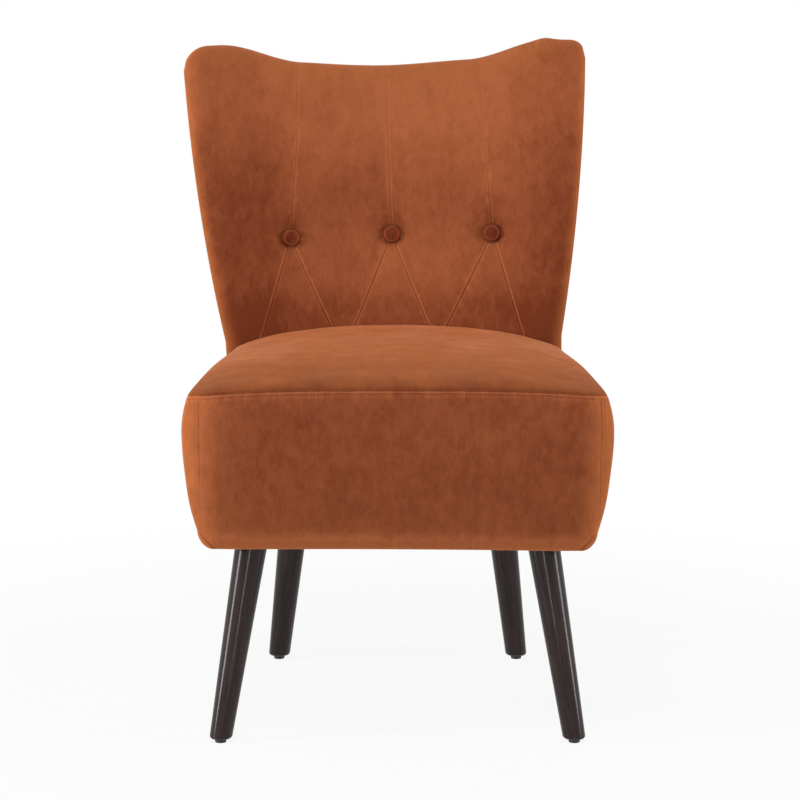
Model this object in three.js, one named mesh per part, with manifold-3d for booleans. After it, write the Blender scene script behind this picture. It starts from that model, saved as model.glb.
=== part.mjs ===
// A slipper chair: an armless upholstered chair with a curved, tufted back on four splayed, tapered legs.
// Lengths are millimetres and +Z is up. While the pieces are made, the floor is z = 0 and the front of
// the seat is y = 0. At the end the chair is centred on its own footprint. Left and right are as seen
// from the front, so left is -X.
import * as THREE from "three";
import { mergeVertices } from "three/addons/utils/BufferGeometryUtils.js";
import Module from "manifold-3d";

const wasm = await Module();
wasm.setup();

// Seat, as covered
const seatWidth = 564;
const seatRearWidth = 478;
const seatSideBow = 3; // how far each side bows out between its corners
const seatDepth = 485; // front of the seat to the face of the back, on the centreline
const underside = 261; // floor to the lowest edge of the seat cover
const seamHeight = 461; // floor to the seam at the front corners
const widestHeight = 410;
const seamDraw = 9; // how far the side is drawn in at the seam
const footDraw = 18; // and at the bottom
const footRadius = 24;
const seatCornerRadius = 34;
const lipWidth = 22; // cover turned under the frame
const frontBow = 15; // rise of the front seam at its middle
const crownRise = 27;
const crownRoll = 60; // depth of the rolled front edge

// Back, as covered
const backTopWidth = 566;
const backSeatWidth = 472;
const backFootWidth = 460;
const seatLine = 470; // height where the back leaves the seat
const crestLow = 842;
const crestHigh = 875;
const saddleBowl = 7; // rise of the crest in its shallow middle
const saddleBowlEnd = 150; // half the width of that middle
const saddleStart = 118; // centreline to where the crest climbs to its shoulders
const saddleEnd = 232; // and to its two high points
const backCornerRadius = 34;
const backRoll = 30; // width of the rolled edge
const backTopThickness = 62;
const backSeatThickness = 88;
const backFootThickness = 98;
const wingTop = 50; // how far the wings stand forward of the centre
const wingFoot = 30;
const leanTop = THREE.MathUtils.degToRad(15.5);
const leanFoot = THREE.MathUtils.degToRad(4);
const leanBlend = 110; // height over which the lean changes
const sideCurveShare = 0.57; // how much the sides bow out between seat and crest
const backSeamAngle = THREE.MathUtils.degToRad(62); // where the outside back is sewn, round the rolled edge

// Buttons and their tufts
const buttonHeight = 607;
const buttonSpacing = 141;
const buttonDiameter = 25;
const buttonDome = 4.5;
const buttonBelly = 4.5;
const buttonLift = 0.7; // button to the bottom of its tuft
const tuftDepth = 14;
const tuftSpread = 30;
const twineDiameter = 2;
const knotDiameter = 6;

// Covers and running clearances
const coverThickness = 2;
const fitGap = 0.3;
const stuffingGap = 0.9; // between a cover and its foam
const seatBackGap = 1.2; // between the two covers where the seat meets the back
const overrun = 40; // how far a cutting tool passes the piece it cuts

// Seat frame
const railThickness = 22;
const railHeight = 88;
const rearRailThickness = 20;
const blockReach = 84;
const blockTip = 24;
const blockHeight = 40;

// Springs, clips and pad
const wireDiameter = 3.4;
const springWidth = 46; // over the loops, centre to centre of the wire
const springPostGap = 0.5; // outer springs to the posts that they pass between
const springWaves = 7;
const springTail = THREE.MathUtils.degToRad(54); // how far round its wave the wire runs past its clips
const springArch = 9; // rise of the springs at mid span
const springEndInset = 8; // clip centreline from the free edge of its rail
const clipLength = 11;
const clipSheet = 1.6;
const clipTab = 8;
const padThickness = 4;
const padInset = 4;

// Back frame
const postWidth = 22;
const postDepth = 30;
const postEdge = 45; // side of the back to the outer face of the post, at the crest
const railDepth = 20;
const crestRailHeight = 50;
const crestRailTop = 812;
const lumbarRailHeight = 44;
const lumbarRailTop = 546;
const backPadFoot = 31; // face of the back to the front of the frame
const backPadSeat = 40;
const backPadTop = 24;
const strapWidth = 48;
const strapThickness = 1.8;
const strapLap = 38; // how far a strap lies on each rail
const boltDiameter = 8;
const boltHeadWidth = 13;
const boltHeadHeight = 5.3;
const boltReach = 16; // depth of the bolt in the side rail
const boltHeight = 333;

// Legs, plates and glides
const legTopDiameter = 43;
const legFootDiameter = 30;
const legChamfer = 2.5;
const frontLegInset = 41; // side of the frame to the middle of a leg's top
const rearLegInset = 50;
const frontLegSetback = 40; // front of the frame to the same point
const rearLegSetback = 41; // and the front of the rear rail
const frontSplay = 41; // how far a foot stands out beside its leg's top
const frontRake = 41; // and before or behind it
const rearSplay = 29;
const rearRake = 39;
const glideDiameter = 15;
const glideHeight = 5;
const glideChamfer = 1.2;
const plateSide = 54;
const plateThickness = 2.5;
const plateScrewDiameter = 4.5;
const plateScrewInset = 8;
const hubDiameter = 14;
const hubHeight = 12;
const hubRoomDiameter = 26; // hole in the corner block above it
const hangerDiameter = 8;
const hangerInLeg = 30;
const hangerAbove = 16;
const hangerPoint = 3;

// Dust cover
const dustThickness = 1;
const dustInset = 8;

// Places along the seat and back at which their surfaces are worked out, as shares of the half width,
// depth or height. They lie closer together where the surface bends more.
const seatColumnShares = [0, 0.25, 0.5, 0.7, 0.84, 0.93, 0.98, 1];
const seatRowShares = [0, 0.03, 0.08, 0.16, 0.4, 0.7, 1];
const seatWallShares = [0.12, 0.5]; // from the widest height down to the start of the bottom roll
const backInnerShares = [0, 0.07, 0.24, 0.4]; // columns, from the middle button outwards
const backOuterShares = [0.8, 0.87, 0.93, 0.975, 1];
const tuftColumnShare = 0.07; // between the columns on and beside a button
const backLowShares = [0, 0.22, 0.38, 0.52]; // rows, below the buttons
const backHighShares = [0.78, 0.9, 1];
const tuftRowShare = 0.03;
const saddlePower = 6; // how quickly the saddle of the crest dies out down the back
const rollFollowShare = 0.5; // how far the seat fills the crease along the rolled edge of the back
const wallPower = 1.7; // how gradually the sides of the seat are drawn in towards the bottom
const crownPower = 2.6; // how squarely the seat's crown meets its side seams
const roundSides = 24;
const smallSides = 12;
const springSteps = 10; // per wave
const springSides = 5;

const frameBottom = underside + coverThickness + fitGap;
const frameTop = frameBottom + railHeight;
const frameInset = footDraw + footRadius + coverThickness;
const springHeight = frameTop + fitGap + clipSheet + fitGap + wireDiameter / 2;
const padBottom = springHeight + springArch + wireDiameter / 2 + fitGap;
const deckHeight = padBottom + padThickness + fitGap;
const cornerCentreHeight = crestHigh - backCornerRadius;

const finishes = {
  velvet: { color: 0xa4592f, roughness: 0.85, metalness: 0 },
  stainedWood: { color: 0x2e2422, roughness: 0.4, metalness: 0 },
  frameWood: { color: 0xc49a6c, roughness: 0.7, metalness: 0 },
  foam: { color: 0xe8ddc0, roughness: 0.95, metalness: 0 },
  felt: { color: 0x9a948a, roughness: 0.95, metalness: 0 },
  blackCloth: { color: 0x1c1b1a, roughness: 0.9, metalness: 0 },
  webbing: { color: 0x2a2c30, roughness: 0.9, metalness: 0 },
  twine: { color: 0xb9a888, roughness: 0.9, metalness: 0 },
  zincSteel: { color: 0xb4b6b8, roughness: 0.35, metalness: 1 },
  springSteel: { color: 0x6c6f73, roughness: 0.45, metalness: 1 },
  blackPlastic: { color: 0x151414, roughness: 0.5, metalness: 0 },
};

const { lerp, clamp, smoothstep } = THREE.MathUtils;
const chair = new THREE.Group();

// Adds a named piece to the chair.
function addPiece(name, geometry, finish) {
  const mesh = new THREE.Mesh(geometry, new THREE.MeshStandardMaterial(finishes[finish]));
  mesh.name = name;
  chair.add(mesh);
  return mesh;
}

// Adds a piece made for the right side, and its mirror image for the left.
function addPair(name, geometry, finish) {
  addPiece("right_" + name, geometry, finish);
  addPiece("left_" + name, geometry, finish).scale.x = -1;
}

// Solids that are cut or joined

function solidFrom(geometry) {
  const bare = geometry.clone();
  bare.deleteAttribute("normal");
  bare.deleteAttribute("uv");
  const merged = mergeVertices(bare);
  return new wasm.Manifold(
    new wasm.Mesh({
      numProp: 3,
      vertProperties: new Float32Array(merged.attributes.position.array),
      triVerts: new Uint32Array(merged.index.array),
    }),
  );
}

function geometryFrom(solid) {
  const mesh = solid.getMesh();
  const geometry = new THREE.BufferGeometry();
  geometry.setAttribute("position", new THREE.BufferAttribute(mesh.vertProperties, 3));
  geometry.setIndex(new THREE.BufferAttribute(mesh.triVerts, 1));
  return geometry;
}

// A piece with each of the cutters taken out of it.
function carve(solid, cutters) {
  return cutters.reduce((left, cutter) => left.subtract(solidFrom(cutter)), solid);
}

function cut(geometry, cutters) {
  return geometryFrom(carve(solidFrom(geometry), cutters));
}

// A rod between two points.
function rod(from, to, diameter, sides = smallSides) {
  const axis = to.clone().sub(from);
  const radius = diameter / 2;
  const geometry = new THREE.CylinderGeometry(radius, radius, axis.length(), sides);
  geometry.applyQuaternion(
    new THREE.Quaternion().setFromUnitVectors(new THREE.Vector3(0, 1, 0), axis.clone().normalize()),
  );
  return geometry.translate(...from.clone().add(to).multiplyScalar(1 / 2).toArray());
}

// A turned piece whose profile of [radius, height] points stands on `foot` and points along `axis`.
function turned(profile, foot, axis, sides = roundSides) {
  const geometry = new THREE.LatheGeometry(
    profile.map(([radius, height]) => new THREE.Vector2(radius, height)),
    sides,
  );
  geometry.applyQuaternion(
    new THREE.Quaternion().setFromUnitVectors(new THREE.Vector3(0, 1, 0), axis.clone().normalize()),
  );
  return geometry.translate(foot.x, foot.y, foot.z);
}

// A plate with the given outline in plan, from one height to another.
function plate(outline, low, high) {
  const shape = new THREE.Shape(outline.map(([x, y]) => new THREE.Vector2(x, y)));
  return new THREE.ExtrudeGeometry(shape, { depth: high - low, bevelEnabled: false }).translate(0, 0, low);
}

// Heights or places spaced evenly between two others, both ends included.
function evenly(low, high, steps) {
  return Array.from({ length: steps + 1 }, (_, i) => lerp(low, high, i / steps));
}

// Surfaces worked out on a net of points

// Shares mirrored about the centreline, from -1 to 1.
function bothSides(shares) {
  return [...shares.slice(1).reverse().map((share) => -share), ...shares];
}

// The faces of a net of columns by rows.
function netFaces(columnCount, rowCount) {
  const faces = [];
  for (let row = 0; row < rowCount - 1; row++) {
    for (let column = 0; column < columnCount - 1; column++) {
      const corner = row * columnCount + column;
      faces.push([corner, corner + 1, corner + columnCount + 1]);
      faces.push([corner, corner + columnCount + 1, corner + columnCount]);
    }
  }
  return faces;
}

// The faces of a band between two rows of point numbers.
function bandFaces(near, far, closed) {
  const faces = [];
  const count = closed ? near.length : near.length - 1;
  for (let i = 0; i < count; i++) {
    const next = (i + 1) % near.length;
    faces.push([near[i], near[next], far[next]]);
    faces.push([near[i], far[next], far[i]]);
  }
  return faces;
}

// The edges that only one face uses, in the direction that the face runs.
function freeEdges(faces) {
  const edges = new Map();
  for (const face of faces) {
    face.forEach((a, i) => {
      const b = face[(i + 1) % face.length];
      if (!edges.delete(b + "_" + a)) edges.set(a + "_" + b, [a, b]);
    });
  }
  return [...edges.values()];
}

function geometryOf(points, faces) {
  const geometry = new THREE.BufferGeometry().setFromPoints(points);
  geometry.setIndex(faces.flat());
  return geometry;
}

// A sheet of even thickness: its outer face, its inner face, and a rim along every free edge.
function shell(surface, thickness) {
  const outer = surface.place(0);
  const inner = surface.place(thickness);
  const count = outer.length;
  const faces = [...surface.faces];
  for (const [a, b, c] of surface.faces) faces.push([c + count, b + count, a + count]);
  for (const [a, b] of freeEdges(surface.faces)) {
    faces.push([b, a, a + count]);
    faces.push([b, a + count, b + count]);
  }
  return geometryOf([...outer, ...inner], faces);
}

// A stuffed form: the surface drawn in by a depth, closed by a flat base that fans out from its middle.
function stuffed(surface, depth) {
  const points = surface.place(depth);
  const edges = freeEdges(surface.faces);
  const middle = edges
    .reduce((sum, [a]) => sum.add(points[a]), new THREE.Vector3())
    .divideScalar(edges.length);
  const base = edges.map(([a, b]) => [b, a, points.length]);
  return geometryOf([...points, middle], [...surface.faces, ...base]);
}

// A block between two curved faces. Its sides follow `left` and `right`, which depend on height.
function block({ left, right, heights, front, rear, columns = 1 }) {
  const points = [];
  for (const face of [front, rear]) {
    for (const z of heights) {
      for (let column = 0; column <= columns; column++) {
        const x = lerp(left(z), right(z), column / columns);
        points.push(new THREE.Vector3(x, face(x, z), z));
      }
    }
  }
  const faces = netFaces(columns + 1, heights.length);
  const count = points.length / 2;
  const frontFaces = [...faces];
  for (const [a, b, c] of frontFaces) faces.push([c + count, b + count, a + count]);
  for (const [a, b] of freeEdges(frontFaces)) {
    faces.push([b, a, a + count]);
    faces.push([b, a + count, b + count]);
  }
  return geometryOf(points, faces);
}

// Shape of the back

// Distance from the front of the seat to the face of the back, on the centreline.
function leanDistance(z) {
  const above = z - seatLine;
  const blend = (above + Math.hypot(above, leanBlend) - leanBlend) / 2;
  return seatDepth + above * Math.tan(leanFoot) + blend * (Math.tan(leanTop) - Math.tan(leanFoot));
}

function backHalfWidth(z) {
  if (z < seatLine) {
    return lerp(backFootWidth, backSeatWidth, (z - underside) / (seatLine - underside)) / 2;
  }
  const rise = Math.min((z - seatLine) / (cornerCentreHeight - seatLine), 1);
  const spread = rise * (1 + sideCurveShare * (1 - rise));
  return lerp(backSeatWidth, backTopWidth, spread) / 2;
}

function backThickness(z) {
  if (z < seatLine) {
    return lerp(backFootThickness, backSeatThickness, (z - underside) / (seatLine - underside));
  }
  return lerp(backSeatThickness, backTopThickness, (z - seatLine) / (crestHigh - seatLine));
}

// The front face of the back, without its tufts.
function backFace(x, z) {
  const wing = lerp(wingFoot, wingTop, smoothstep(z, underside, seatLine));
  return leanDistance(z) - wing * (x / backHalfWidth(z)) ** 2;
}

function tuftAt(x, z) {
  return [-buttonSpacing, 0, buttonSpacing]
    .map((place) => tuftDepth * Math.exp(-((x - place) ** 2 + (z - buttonHeight) ** 2) / tuftSpread ** 2))
    .reduce((sum, depth) => sum + depth, 0);
}

// Height of a round corner's arc at a distance across from its centre.
function arcHeight(radius, over) {
  return Math.sqrt(Math.max(radius ** 2 - over ** 2, 0));
}

// Height of the crest, drawn in by an inset.
function crestHeight(x, inset) {
  const out = Math.abs(x);
  const cornerCentre = backTopWidth / 2 - backCornerRadius;
  const radius = backCornerRadius - inset;
  const over = Math.min(Math.max(out - cornerCentre, 0), radius);
  const corner = cornerCentreHeight + arcHeight(radius, over);
  const bowl = saddleBowl * smoothstep(out, 0, saddleBowlEnd);
  const shoulder = (crestHigh - crestLow - saddleBowl) * smoothstep(out, saddleStart, saddleEnd);
  return corner - (crestHigh - crestLow) + bowl + shoulder;
}

// A point of the back at a share of its half width and height, at an angle round its rolled edge from
// the front face (90 degrees) to the rear face (-90 degrees), and at a depth below the surface.
function backPoint(across, up, angle, depth) {
  const inset = depth + (backRoll - depth) * (1 - Math.cos(angle));
  const level = crestLow - inset;
  const saddle = crestHeight(across * (backTopWidth / 2 - inset), inset) - level;
  const z = lerp(underside, level, up) + saddle * up ** saddlePower;
  const x = across * (backHalfWidth(z) - inset);
  const half = backThickness(z) / 2;
  const tuft = angle > 0 ? tuftAt(x, z) * Math.sin(angle) : 0;
  return new THREE.Vector3(x, backFace(x, z) + half - (half - depth) * Math.sin(angle) + tuft, z);
}

const quarter = Math.PI / 2;
const buttonColumn = buttonSpacing / (backHalfWidth(buttonHeight) - backRoll);
const buttonRow = (buttonHeight - underside) / (crestLow - backRoll - underside);
const backColumns = bothSides([
  ...backInnerShares,
  buttonColumn - tuftColumnShare,
  buttonColumn,
  buttonColumn + tuftColumnShare,
  ...backOuterShares,
]);
const backRows = [
  ...backLowShares,
  buttonRow - tuftRowShare,
  buttonRow,
  buttonRow + tuftRowShare,
  ...backHighShares,
];

// The places along the rolled edge: up the left side, over the crest and down the right side.
const backBorder = [
  ...backRows.map((up) => [-1, up]),
  ...backColumns.slice(1).map((across) => [across, 1]),
  ...[...backRows].reverse().slice(1).map((up) => [1, up]),
];

// The point numbers of that border in a net of the back's columns and rows.
const backBorderNumbers = backBorder.map(
  ([across, up]) => backRows.indexOf(up) * backColumns.length + backColumns.indexOf(across),
);

function backNet(angle, depth) {
  return backRows.flatMap((up) => backColumns.map((across) => backPoint(across, up, angle, depth)));
}

// One face of the back and the bands that lead from it round the rolled edge.
function backSurface(faceAngle, bandAngles) {
  const netCount = backColumns.length * backRows.length;
  const faces = netFaces(backColumns.length, backRows.length);
  let near = backBorderNumbers;
  bandAngles.forEach((_, band) => {
    const far = backBorder.map((_, i) => netCount + band * backBorder.length + i);
    faces.push(...bandFaces(near, far, false));
    near = far;
  });
  return {
    faces: faceAngle > 0 ? faces : faces.map((face) => [...face].reverse()),
    near,
    place: (depth) => [
      ...backNet(faceAngle, depth),
      ...bandAngles.flatMap((angle) =>
        backBorder.map(([across, up]) => backPoint(across, up, angle, depth)),
      ),
    ],
  };
}

const seamGapAngle = (fitGap * 2) / backRoll;
const insideBack = backSurface(quarter, [quarter * (2 / 3), quarter / 3, 0, -quarter / 3, -backSeamAngle]);
const outsideBack = backSurface(-quarter, [-backSeamAngle - seamGapAngle]);

// The whole stuffed back: both faces and the rolled edge between them.
function wholeBack() {
  const front = backSurface(quarter, [quarter * (2 / 3), quarter / 3, 0, -quarter / 3, -quarter * (2 / 3)]);
  const frontCount = front.place(0).length;
  const rearFaces = netFaces(backColumns.length, backRows.length).map((face) =>
    face.map((i) => i + frontCount).reverse(),
  );
  const rearBorder = backBorderNumbers.map((i) => i + frontCount);
  return {
    faces: [...front.faces, ...rearFaces, ...bandFaces(front.near, rearBorder, false)],
    place: (depth) => [...front.place(depth), ...backNet(-quarter, depth)],
  };
}

// Shape of the seat

// Half width of the seat in plan, at its widest height.
function seatHalfWidth(y) {
  const rearCorner = seatDepth - wingTop;
  const back = Math.max(y - seatCornerRadius, 0) / (rearCorner - seatCornerRadius);
  return lerp(seatWidth, seatRearWidth, back) / 2 + seatSideBow * Math.max(4 * back * (1 - back), 0);
}

// The rear limit of the seat: the face of the back, followed part of the way round its rolled edge.
function seatRear(x, z) {
  const width = backHalfWidth(z);
  const half = backThickness(z) / 2;
  const round = clamp((Math.abs(x) - width + backRoll) / backRoll, 0, 1);
  const crease = half * (1 - Math.sqrt(1 - (round * rollFollowShare) ** 2));
  return backFace(clamp(x, -width, width), z) + crease - seatBackGap;
}

function seatPoint(across, along, height, draw, lip, depth) {
  const inset = draw + lip + depth;
  const frontHalf = seatWidth / 2 - inset;
  const radius = Math.max(seatCornerRadius - inset, fitGap);
  const frontX = across * frontHalf;
  const over = Math.max(Math.abs(frontX) - (frontHalf - radius), 0);
  const frontY = inset + radius - arcHeight(radius, over);
  const rearX = across * (seatRearWidth / 2 - inset);
  const y = lerp(frontY, seatRear(rearX, height) - depth - lip, along);
  return new THREE.Vector3(across * (seatHalfWidth(y) - inset), y, height);
}

// The crown: lowest along the side seams, higher at the middle of the front seam, highest behind it.
function crownHeight(across, along) {
  const square = Math.sqrt(1 - Math.abs(across) ** crownPower);
  const roll = 1 - Math.min((along * seatDepth) / crownRoll, 1);
  const rise = frontBow + (crownRise - frontBow) * Math.sqrt(1 - roll ** 2);
  return seamHeight + square * rise;
}

const seatColumns = bothSides(seatColumnShares);
const rollStart = underside + footRadius;
const seatBands = [
  { height: (seamHeight + widestHeight) / 2, draw: seamDraw / 4 },
  { height: widestHeight, draw: 0 },
  ...seatWallShares.map((share) => ({
    height: lerp(widestHeight, rollStart, share),
    draw: footDraw * share ** wallPower,
  })),
  { height: rollStart, draw: footDraw },
  { height: rollStart, draw: footDraw, roll: quarter / 2 },
  { height: rollStart, draw: footDraw, roll: quarter },
];

const seatBorder = [
  ...seatColumns.map((across) => [across, 0]),
  ...seatRowShares.slice(1).map((along) => [1, along]),
  ...[...seatColumns].reverse().slice(1).map((across) => [across, 1]),
  ...[...seatRowShares].reverse().slice(1, -1).map((along) => [-1, along]),
];

function bandPoint([across, along], band, depth) {
  const radius = footRadius - depth;
  const roll = band.roll || 0;
  const draw = band.draw + radius * (1 - Math.cos(roll));
  return seatPoint(across, along, band.height - radius * Math.sin(roll), draw, band.lip || 0, depth);
}

function seatSurface(bands) {
  const netCount = seatColumns.length * seatRowShares.length;
  const faces = netFaces(seatColumns.length, seatRowShares.length);
  let near = seatBorder.map(
    ([across, along]) => seatRowShares.indexOf(along) * seatColumns.length + seatColumns.indexOf(across),
  );
  bands.forEach((_, band) => {
    const far = seatBorder.map((_, i) => netCount + band * seatBorder.length + i);
    faces.push(...bandFaces(far, near, true));
    near = far;
  });
  return {
    faces,
    place: (depth) => [
      ...seatRowShares.flatMap((along) =>
        seatColumns.map((across) => {
          const point = seatPoint(across, along, crownHeight(across, along), seamDraw, 0, depth);
          return point.setZ(point.z - depth);
        }),
      ),
      ...bands.flatMap((band) => seatBorder.map((place) => bandPoint(place, band, depth))),
    ],
  };
}

// Shape of the frame in plan

function frameHalfWidth(y) {
  const rearCorner = seatDepth - wingTop;
  const slope = (seatHalfWidth(rearCorner) - seatHalfWidth(seatCornerRadius)) / (rearCorner - seatCornerRadius);
  return seatWidth / 2 - frameInset + slope * (y - seatCornerRadius);
}

// The face of the back frame, behind the foam.
function frameFace(x, z) {
  const foot = lerp(backPadFoot, backPadSeat, (z - underside) / (seatLine - underside));
  const top = lerp(backPadSeat, backPadTop, (z - seatLine) / (crestHigh - seatLine));
  return backFace(x, z) + (z < seatLine ? foot : top);
}

const frameFront = frameInset;
const postFoot = frameBottom + blockHeight + fitGap;

function rearRailFront(x) {
  return frameFace(x, frameTop) + postDepth + fitGap;
}

function rearRailRear(x) {
  return rearRailFront(x) + rearRailThickness;
}

const sideRailEnd = rearRailRear(frameHalfWidth(seatDepth));
const postOuterFoot = frameHalfWidth(sideRailEnd) - railThickness - fitGap;
const postOuterTop = backTopWidth / 2 - postEdge;

function postOuter(z) {
  const rise = Math.max((z - frameTop) / (crestRailTop - frameTop), 0);
  return lerp(postOuterFoot, postOuterTop, rise);
}

function postInner(z) {
  return postOuter(z) - postWidth;
}

const rearBlockStart = rearRailFront(frameHalfWidth(sideRailEnd) - railThickness) - fitGap;
const frontLegTopY = frameFront + frontLegSetback;
const frontLegTopX = frameHalfWidth(frontLegTopY) - frontLegInset;
const rearLegTopY = rearBlockStart - rearLegSetback;
const rearLegTopX = frameHalfWidth(rearLegTopY) - rearLegInset;

// The space that the seat frame fills, with room round it, between two heights.
function frameSpace(low, high, grow) {
  const rearHalf = frameHalfWidth(sideRailEnd) + grow;
  const frontHalf = frameHalfWidth(frameFront) + grow;
  const rear = rearRailRear(0) + overrun;
  return plate(
    [
      [-frontHalf, frameFront - grow],
      [frontHalf, frameFront - grow],
      [rearHalf, sideRailEnd],
      [rearHalf, rear],
      [-rearHalf, rear],
      [-rearHalf, sideRailEnd],
    ],
    low,
    high,
  );
}

// Square openings for the leg plates, in the covers under the frame.
const plateOpenings = [
  [frontLegTopX, frontLegTopY],
  [rearLegTopX, rearLegTopY],
].flatMap(([topX, topY]) =>
  [-topX, topX].map((x) => {
    const room = plateSide / 2 + 2 * fitGap;
    const outline = [
      [x - room, topY - room],
      [x + room, topY - room],
      [x + room, topY + room],
      [x - room, topY + room],
    ];
    return plate(outline, underside - overrun, frameBottom);
  }),
);

// The covered seat

const lipBand = { height: rollStart, draw: footDraw, roll: quarter, lip: lipWidth };
const tunnel = frameSpace(frameBottom - fitGap, deckHeight, fitGap);
const backTunnel = frameSpace(underside - overrun, deckHeight, fitGap);

// The seat cover and foam are open to the rear below the deck, where the frame runs on into the back.
function rearOpening(low) {
  const rearHalf = frameHalfWidth(sideRailEnd) + fitGap;
  const start = seatDepth - wingTop - frameInset;
  return plate(
    [
      [-rearHalf, start],
      [rearHalf, start],
      [rearHalf, start + seatDepth],
      [-rearHalf, start + seatDepth],
    ],
    low,
    deckHeight,
  );
}

addPiece(
  "seat_cover",
  cut(shell(seatSurface([...seatBands, lipBand]), coverThickness), [
    tunnel,
    rearOpening(underside - overrun),
    ...plateOpenings,
  ]),
  "velvet",
);

const seatStuffing = carve(solidFrom(stuffed(seatSurface(seatBands), coverThickness + stuffingGap)), [
  tunnel,
  rearOpening(underside - overrun),
]);
const spread = seatWidth + seatDepth;
const upperHalf = solidFrom(
  plate(
    [
      [-spread, -spread],
      [spread, -spread],
      [spread, spread],
      [-spread, spread],
    ],
    deckHeight,
    crestHigh,
  ),
);
const lowerHalf = upperHalf.translate(0, 0, deckHeight - crestHigh - fitGap);
addPiece("seat_foam", geometryFrom(seatStuffing.intersect(upperHalf)), "foam");
addPiece("seat_edge_padding", geometryFrom(seatStuffing.intersect(lowerHalf)), "foam");

// The seat frame

const railInner = (y) => frameHalfWidth(y) - railThickness;
const frontRailRear = frameFront + railThickness;
const sideRailStart = frontRailRear + fitGap;

addPiece(
  "front_rail",
  plate(
    [
      [-frameHalfWidth(frameFront), frameFront],
      [frameHalfWidth(frameFront), frameFront],
      [frameHalfWidth(frontRailRear), frontRailRear],
      [-frameHalfWidth(frontRailRear), frontRailRear],
    ],
    frameBottom,
    frameTop,
  ),
  "frameWood",
);

const rearRailEnd = railInner(sideRailEnd) - fitGap;
addPiece(
  "rear_rail",
  block({
    left: () => -rearRailEnd,
    right: () => rearRailEnd,
    heights: [frameBottom, frameTop],
    front: rearRailFront,
    rear: rearRailRear,
    columns: 10,
  }),
  "frameWood",
);

const postMidY = frameFace(postInner(boltHeight), boltHeight) + postDepth / 2;
const boltHole = rod(
  new THREE.Vector3(postInner(boltHeight) - overrun, postMidY, boltHeight),
  new THREE.Vector3(railInner(postMidY) + boltReach + fitGap, postMidY, boltHeight),
  boltDiameter + 2 * fitGap,
);
addPair(
  "side_rail",
  cut(
    plate(
      [
        [frameHalfWidth(sideRailStart), sideRailStart],
        [frameHalfWidth(sideRailEnd), sideRailEnd],
        [railInner(sideRailEnd), sideRailEnd],
        [railInner(sideRailStart), sideRailStart],
      ],
      frameBottom,
      frameTop,
    ),
    [boltHole],
  ),
  "frameWood",
);

// A corner block reaches along the side rail and across the seat, and its tips are sawn off.
function cornerBlock(start, end, holeX, holeY) {
  const tip = Math.sign(end - start) * blockTip;
  const startX = railInner(start) - fitGap;
  const endX = railInner(end) - fitGap;
  const outline = [
    [startX, start],
    [endX, end],
    [endX - blockTip, end],
    [startX - blockReach, start + tip],
    [startX - blockReach, start],
  ];
  const hole = new THREE.Vector3(holeX, holeY, frameBottom);
  return cut(plate(tip > 0 ? outline : outline.reverse(), frameBottom, frameBottom + blockHeight), [
    rod(
      hole.clone().setZ(frameBottom - overrun),
      hole.clone().setZ(frameBottom + hangerAbove + hangerPoint),
      hubRoomDiameter,
    ),
  ]);
}

addPair(
  "front_corner_block",
  cornerBlock(sideRailStart, sideRailStart + blockReach, frontLegTopX, frontLegTopY),
  "frameWood",
);
addPair(
  "rear_corner_block",
  cornerBlock(rearBlockStart, rearBlockStart - blockReach, rearLegTopX, rearLegTopY),
  "frameWood",
);

// Springs and their clips

// A zigzag wire from one clip to the other. Each wave crosses the spring's centreline square on,
// which is where a clip holds it.
class ZigzagCurve extends THREE.Curve {
  constructor(placeX, startY, endY) {
    super();
    this.placeX = placeX;
    this.startY = startY;
    this.pitch = (endY - startY) / (springWaves * 2 * Math.PI);
  }

  getPoint(share) {
    const turns = springWaves * 2 * Math.PI;
    const angle = lerp(-springTail, turns + springTail, share);
    const arch = springArch * Math.sin(Math.PI * clamp(angle / turns, 0, 1));
    return new THREE.Vector3(
      this.placeX + (springWidth / 2) * Math.sin(angle),
      this.startY + this.pitch * (angle - Math.sin(2 * angle) / 2),
      springHeight + arch,
    );
  }
}

function springGeometry(curve) {
  const section = new THREE.Shape(
    Array.from({ length: springSides }, (_, i) => {
      const angle = (i / springSides) * 2 * Math.PI;
      return new THREE.Vector2(Math.cos(angle), Math.sin(angle)).multiplyScalar(wireDiameter / 2);
    }),
  );
  const steps = springWaves * springSteps;
  const bends = Array.from({ length: steps + 1 }, (_, i) => curve.getPoint(i / steps));
  const path = new THREE.CurvePath();
  for (let i = 0; i < steps; i++) path.add(new THREE.LineCurve3(bends[i], bends[i + 1]));
  path.getPointAt = (share) => curve.getPoint(share);
  path.getTangentAt = (share) => curve.getTangent(share);
  return new THREE.ExtrudeGeometry(section, { steps, bevelEnabled: false, extrudePath: path });
}

// A clip is a strip of sheet folded over the wire, open towards the middle of the seat.
function clipGeometry(placeX, placeY, inward) {
  const low = frameTop + fitGap;
  const radius = wireDiameter / 2 + fitGap;
  const outer = radius + clipSheet;
  const middle = low + outer;
  const profile = new THREE.Shape();
  profile.moveTo(-clipTab - outer, low);
  profile.lineTo(outer, low);
  profile.lineTo(outer, low + clipSheet);
  profile.lineTo(0, middle - radius);
  profile.absarc(0, middle, radius, -quarter, quarter, true);
  profile.lineTo(outer, middle + radius);
  profile.lineTo(outer, middle + outer);
  profile.lineTo(0, middle + outer);
  profile.absarc(0, middle, outer, quarter, Math.PI, false);
  profile.lineTo(-outer, low + clipSheet);
  profile.lineTo(-clipTab - outer, low + clipSheet);
  const geometry = new THREE.ExtrudeGeometry(profile, {
    depth: clipLength,
    bevelEnabled: false,
    curveSegments: smallSides / 3,
  });
  geometry.translate(0, 0, -clipLength / 2);
  geometry.rotateX(quarter).rotateZ(inward > 0 ? quarter : -quarter);
  return geometry.translate(placeX, placeY, 0);
}

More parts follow.
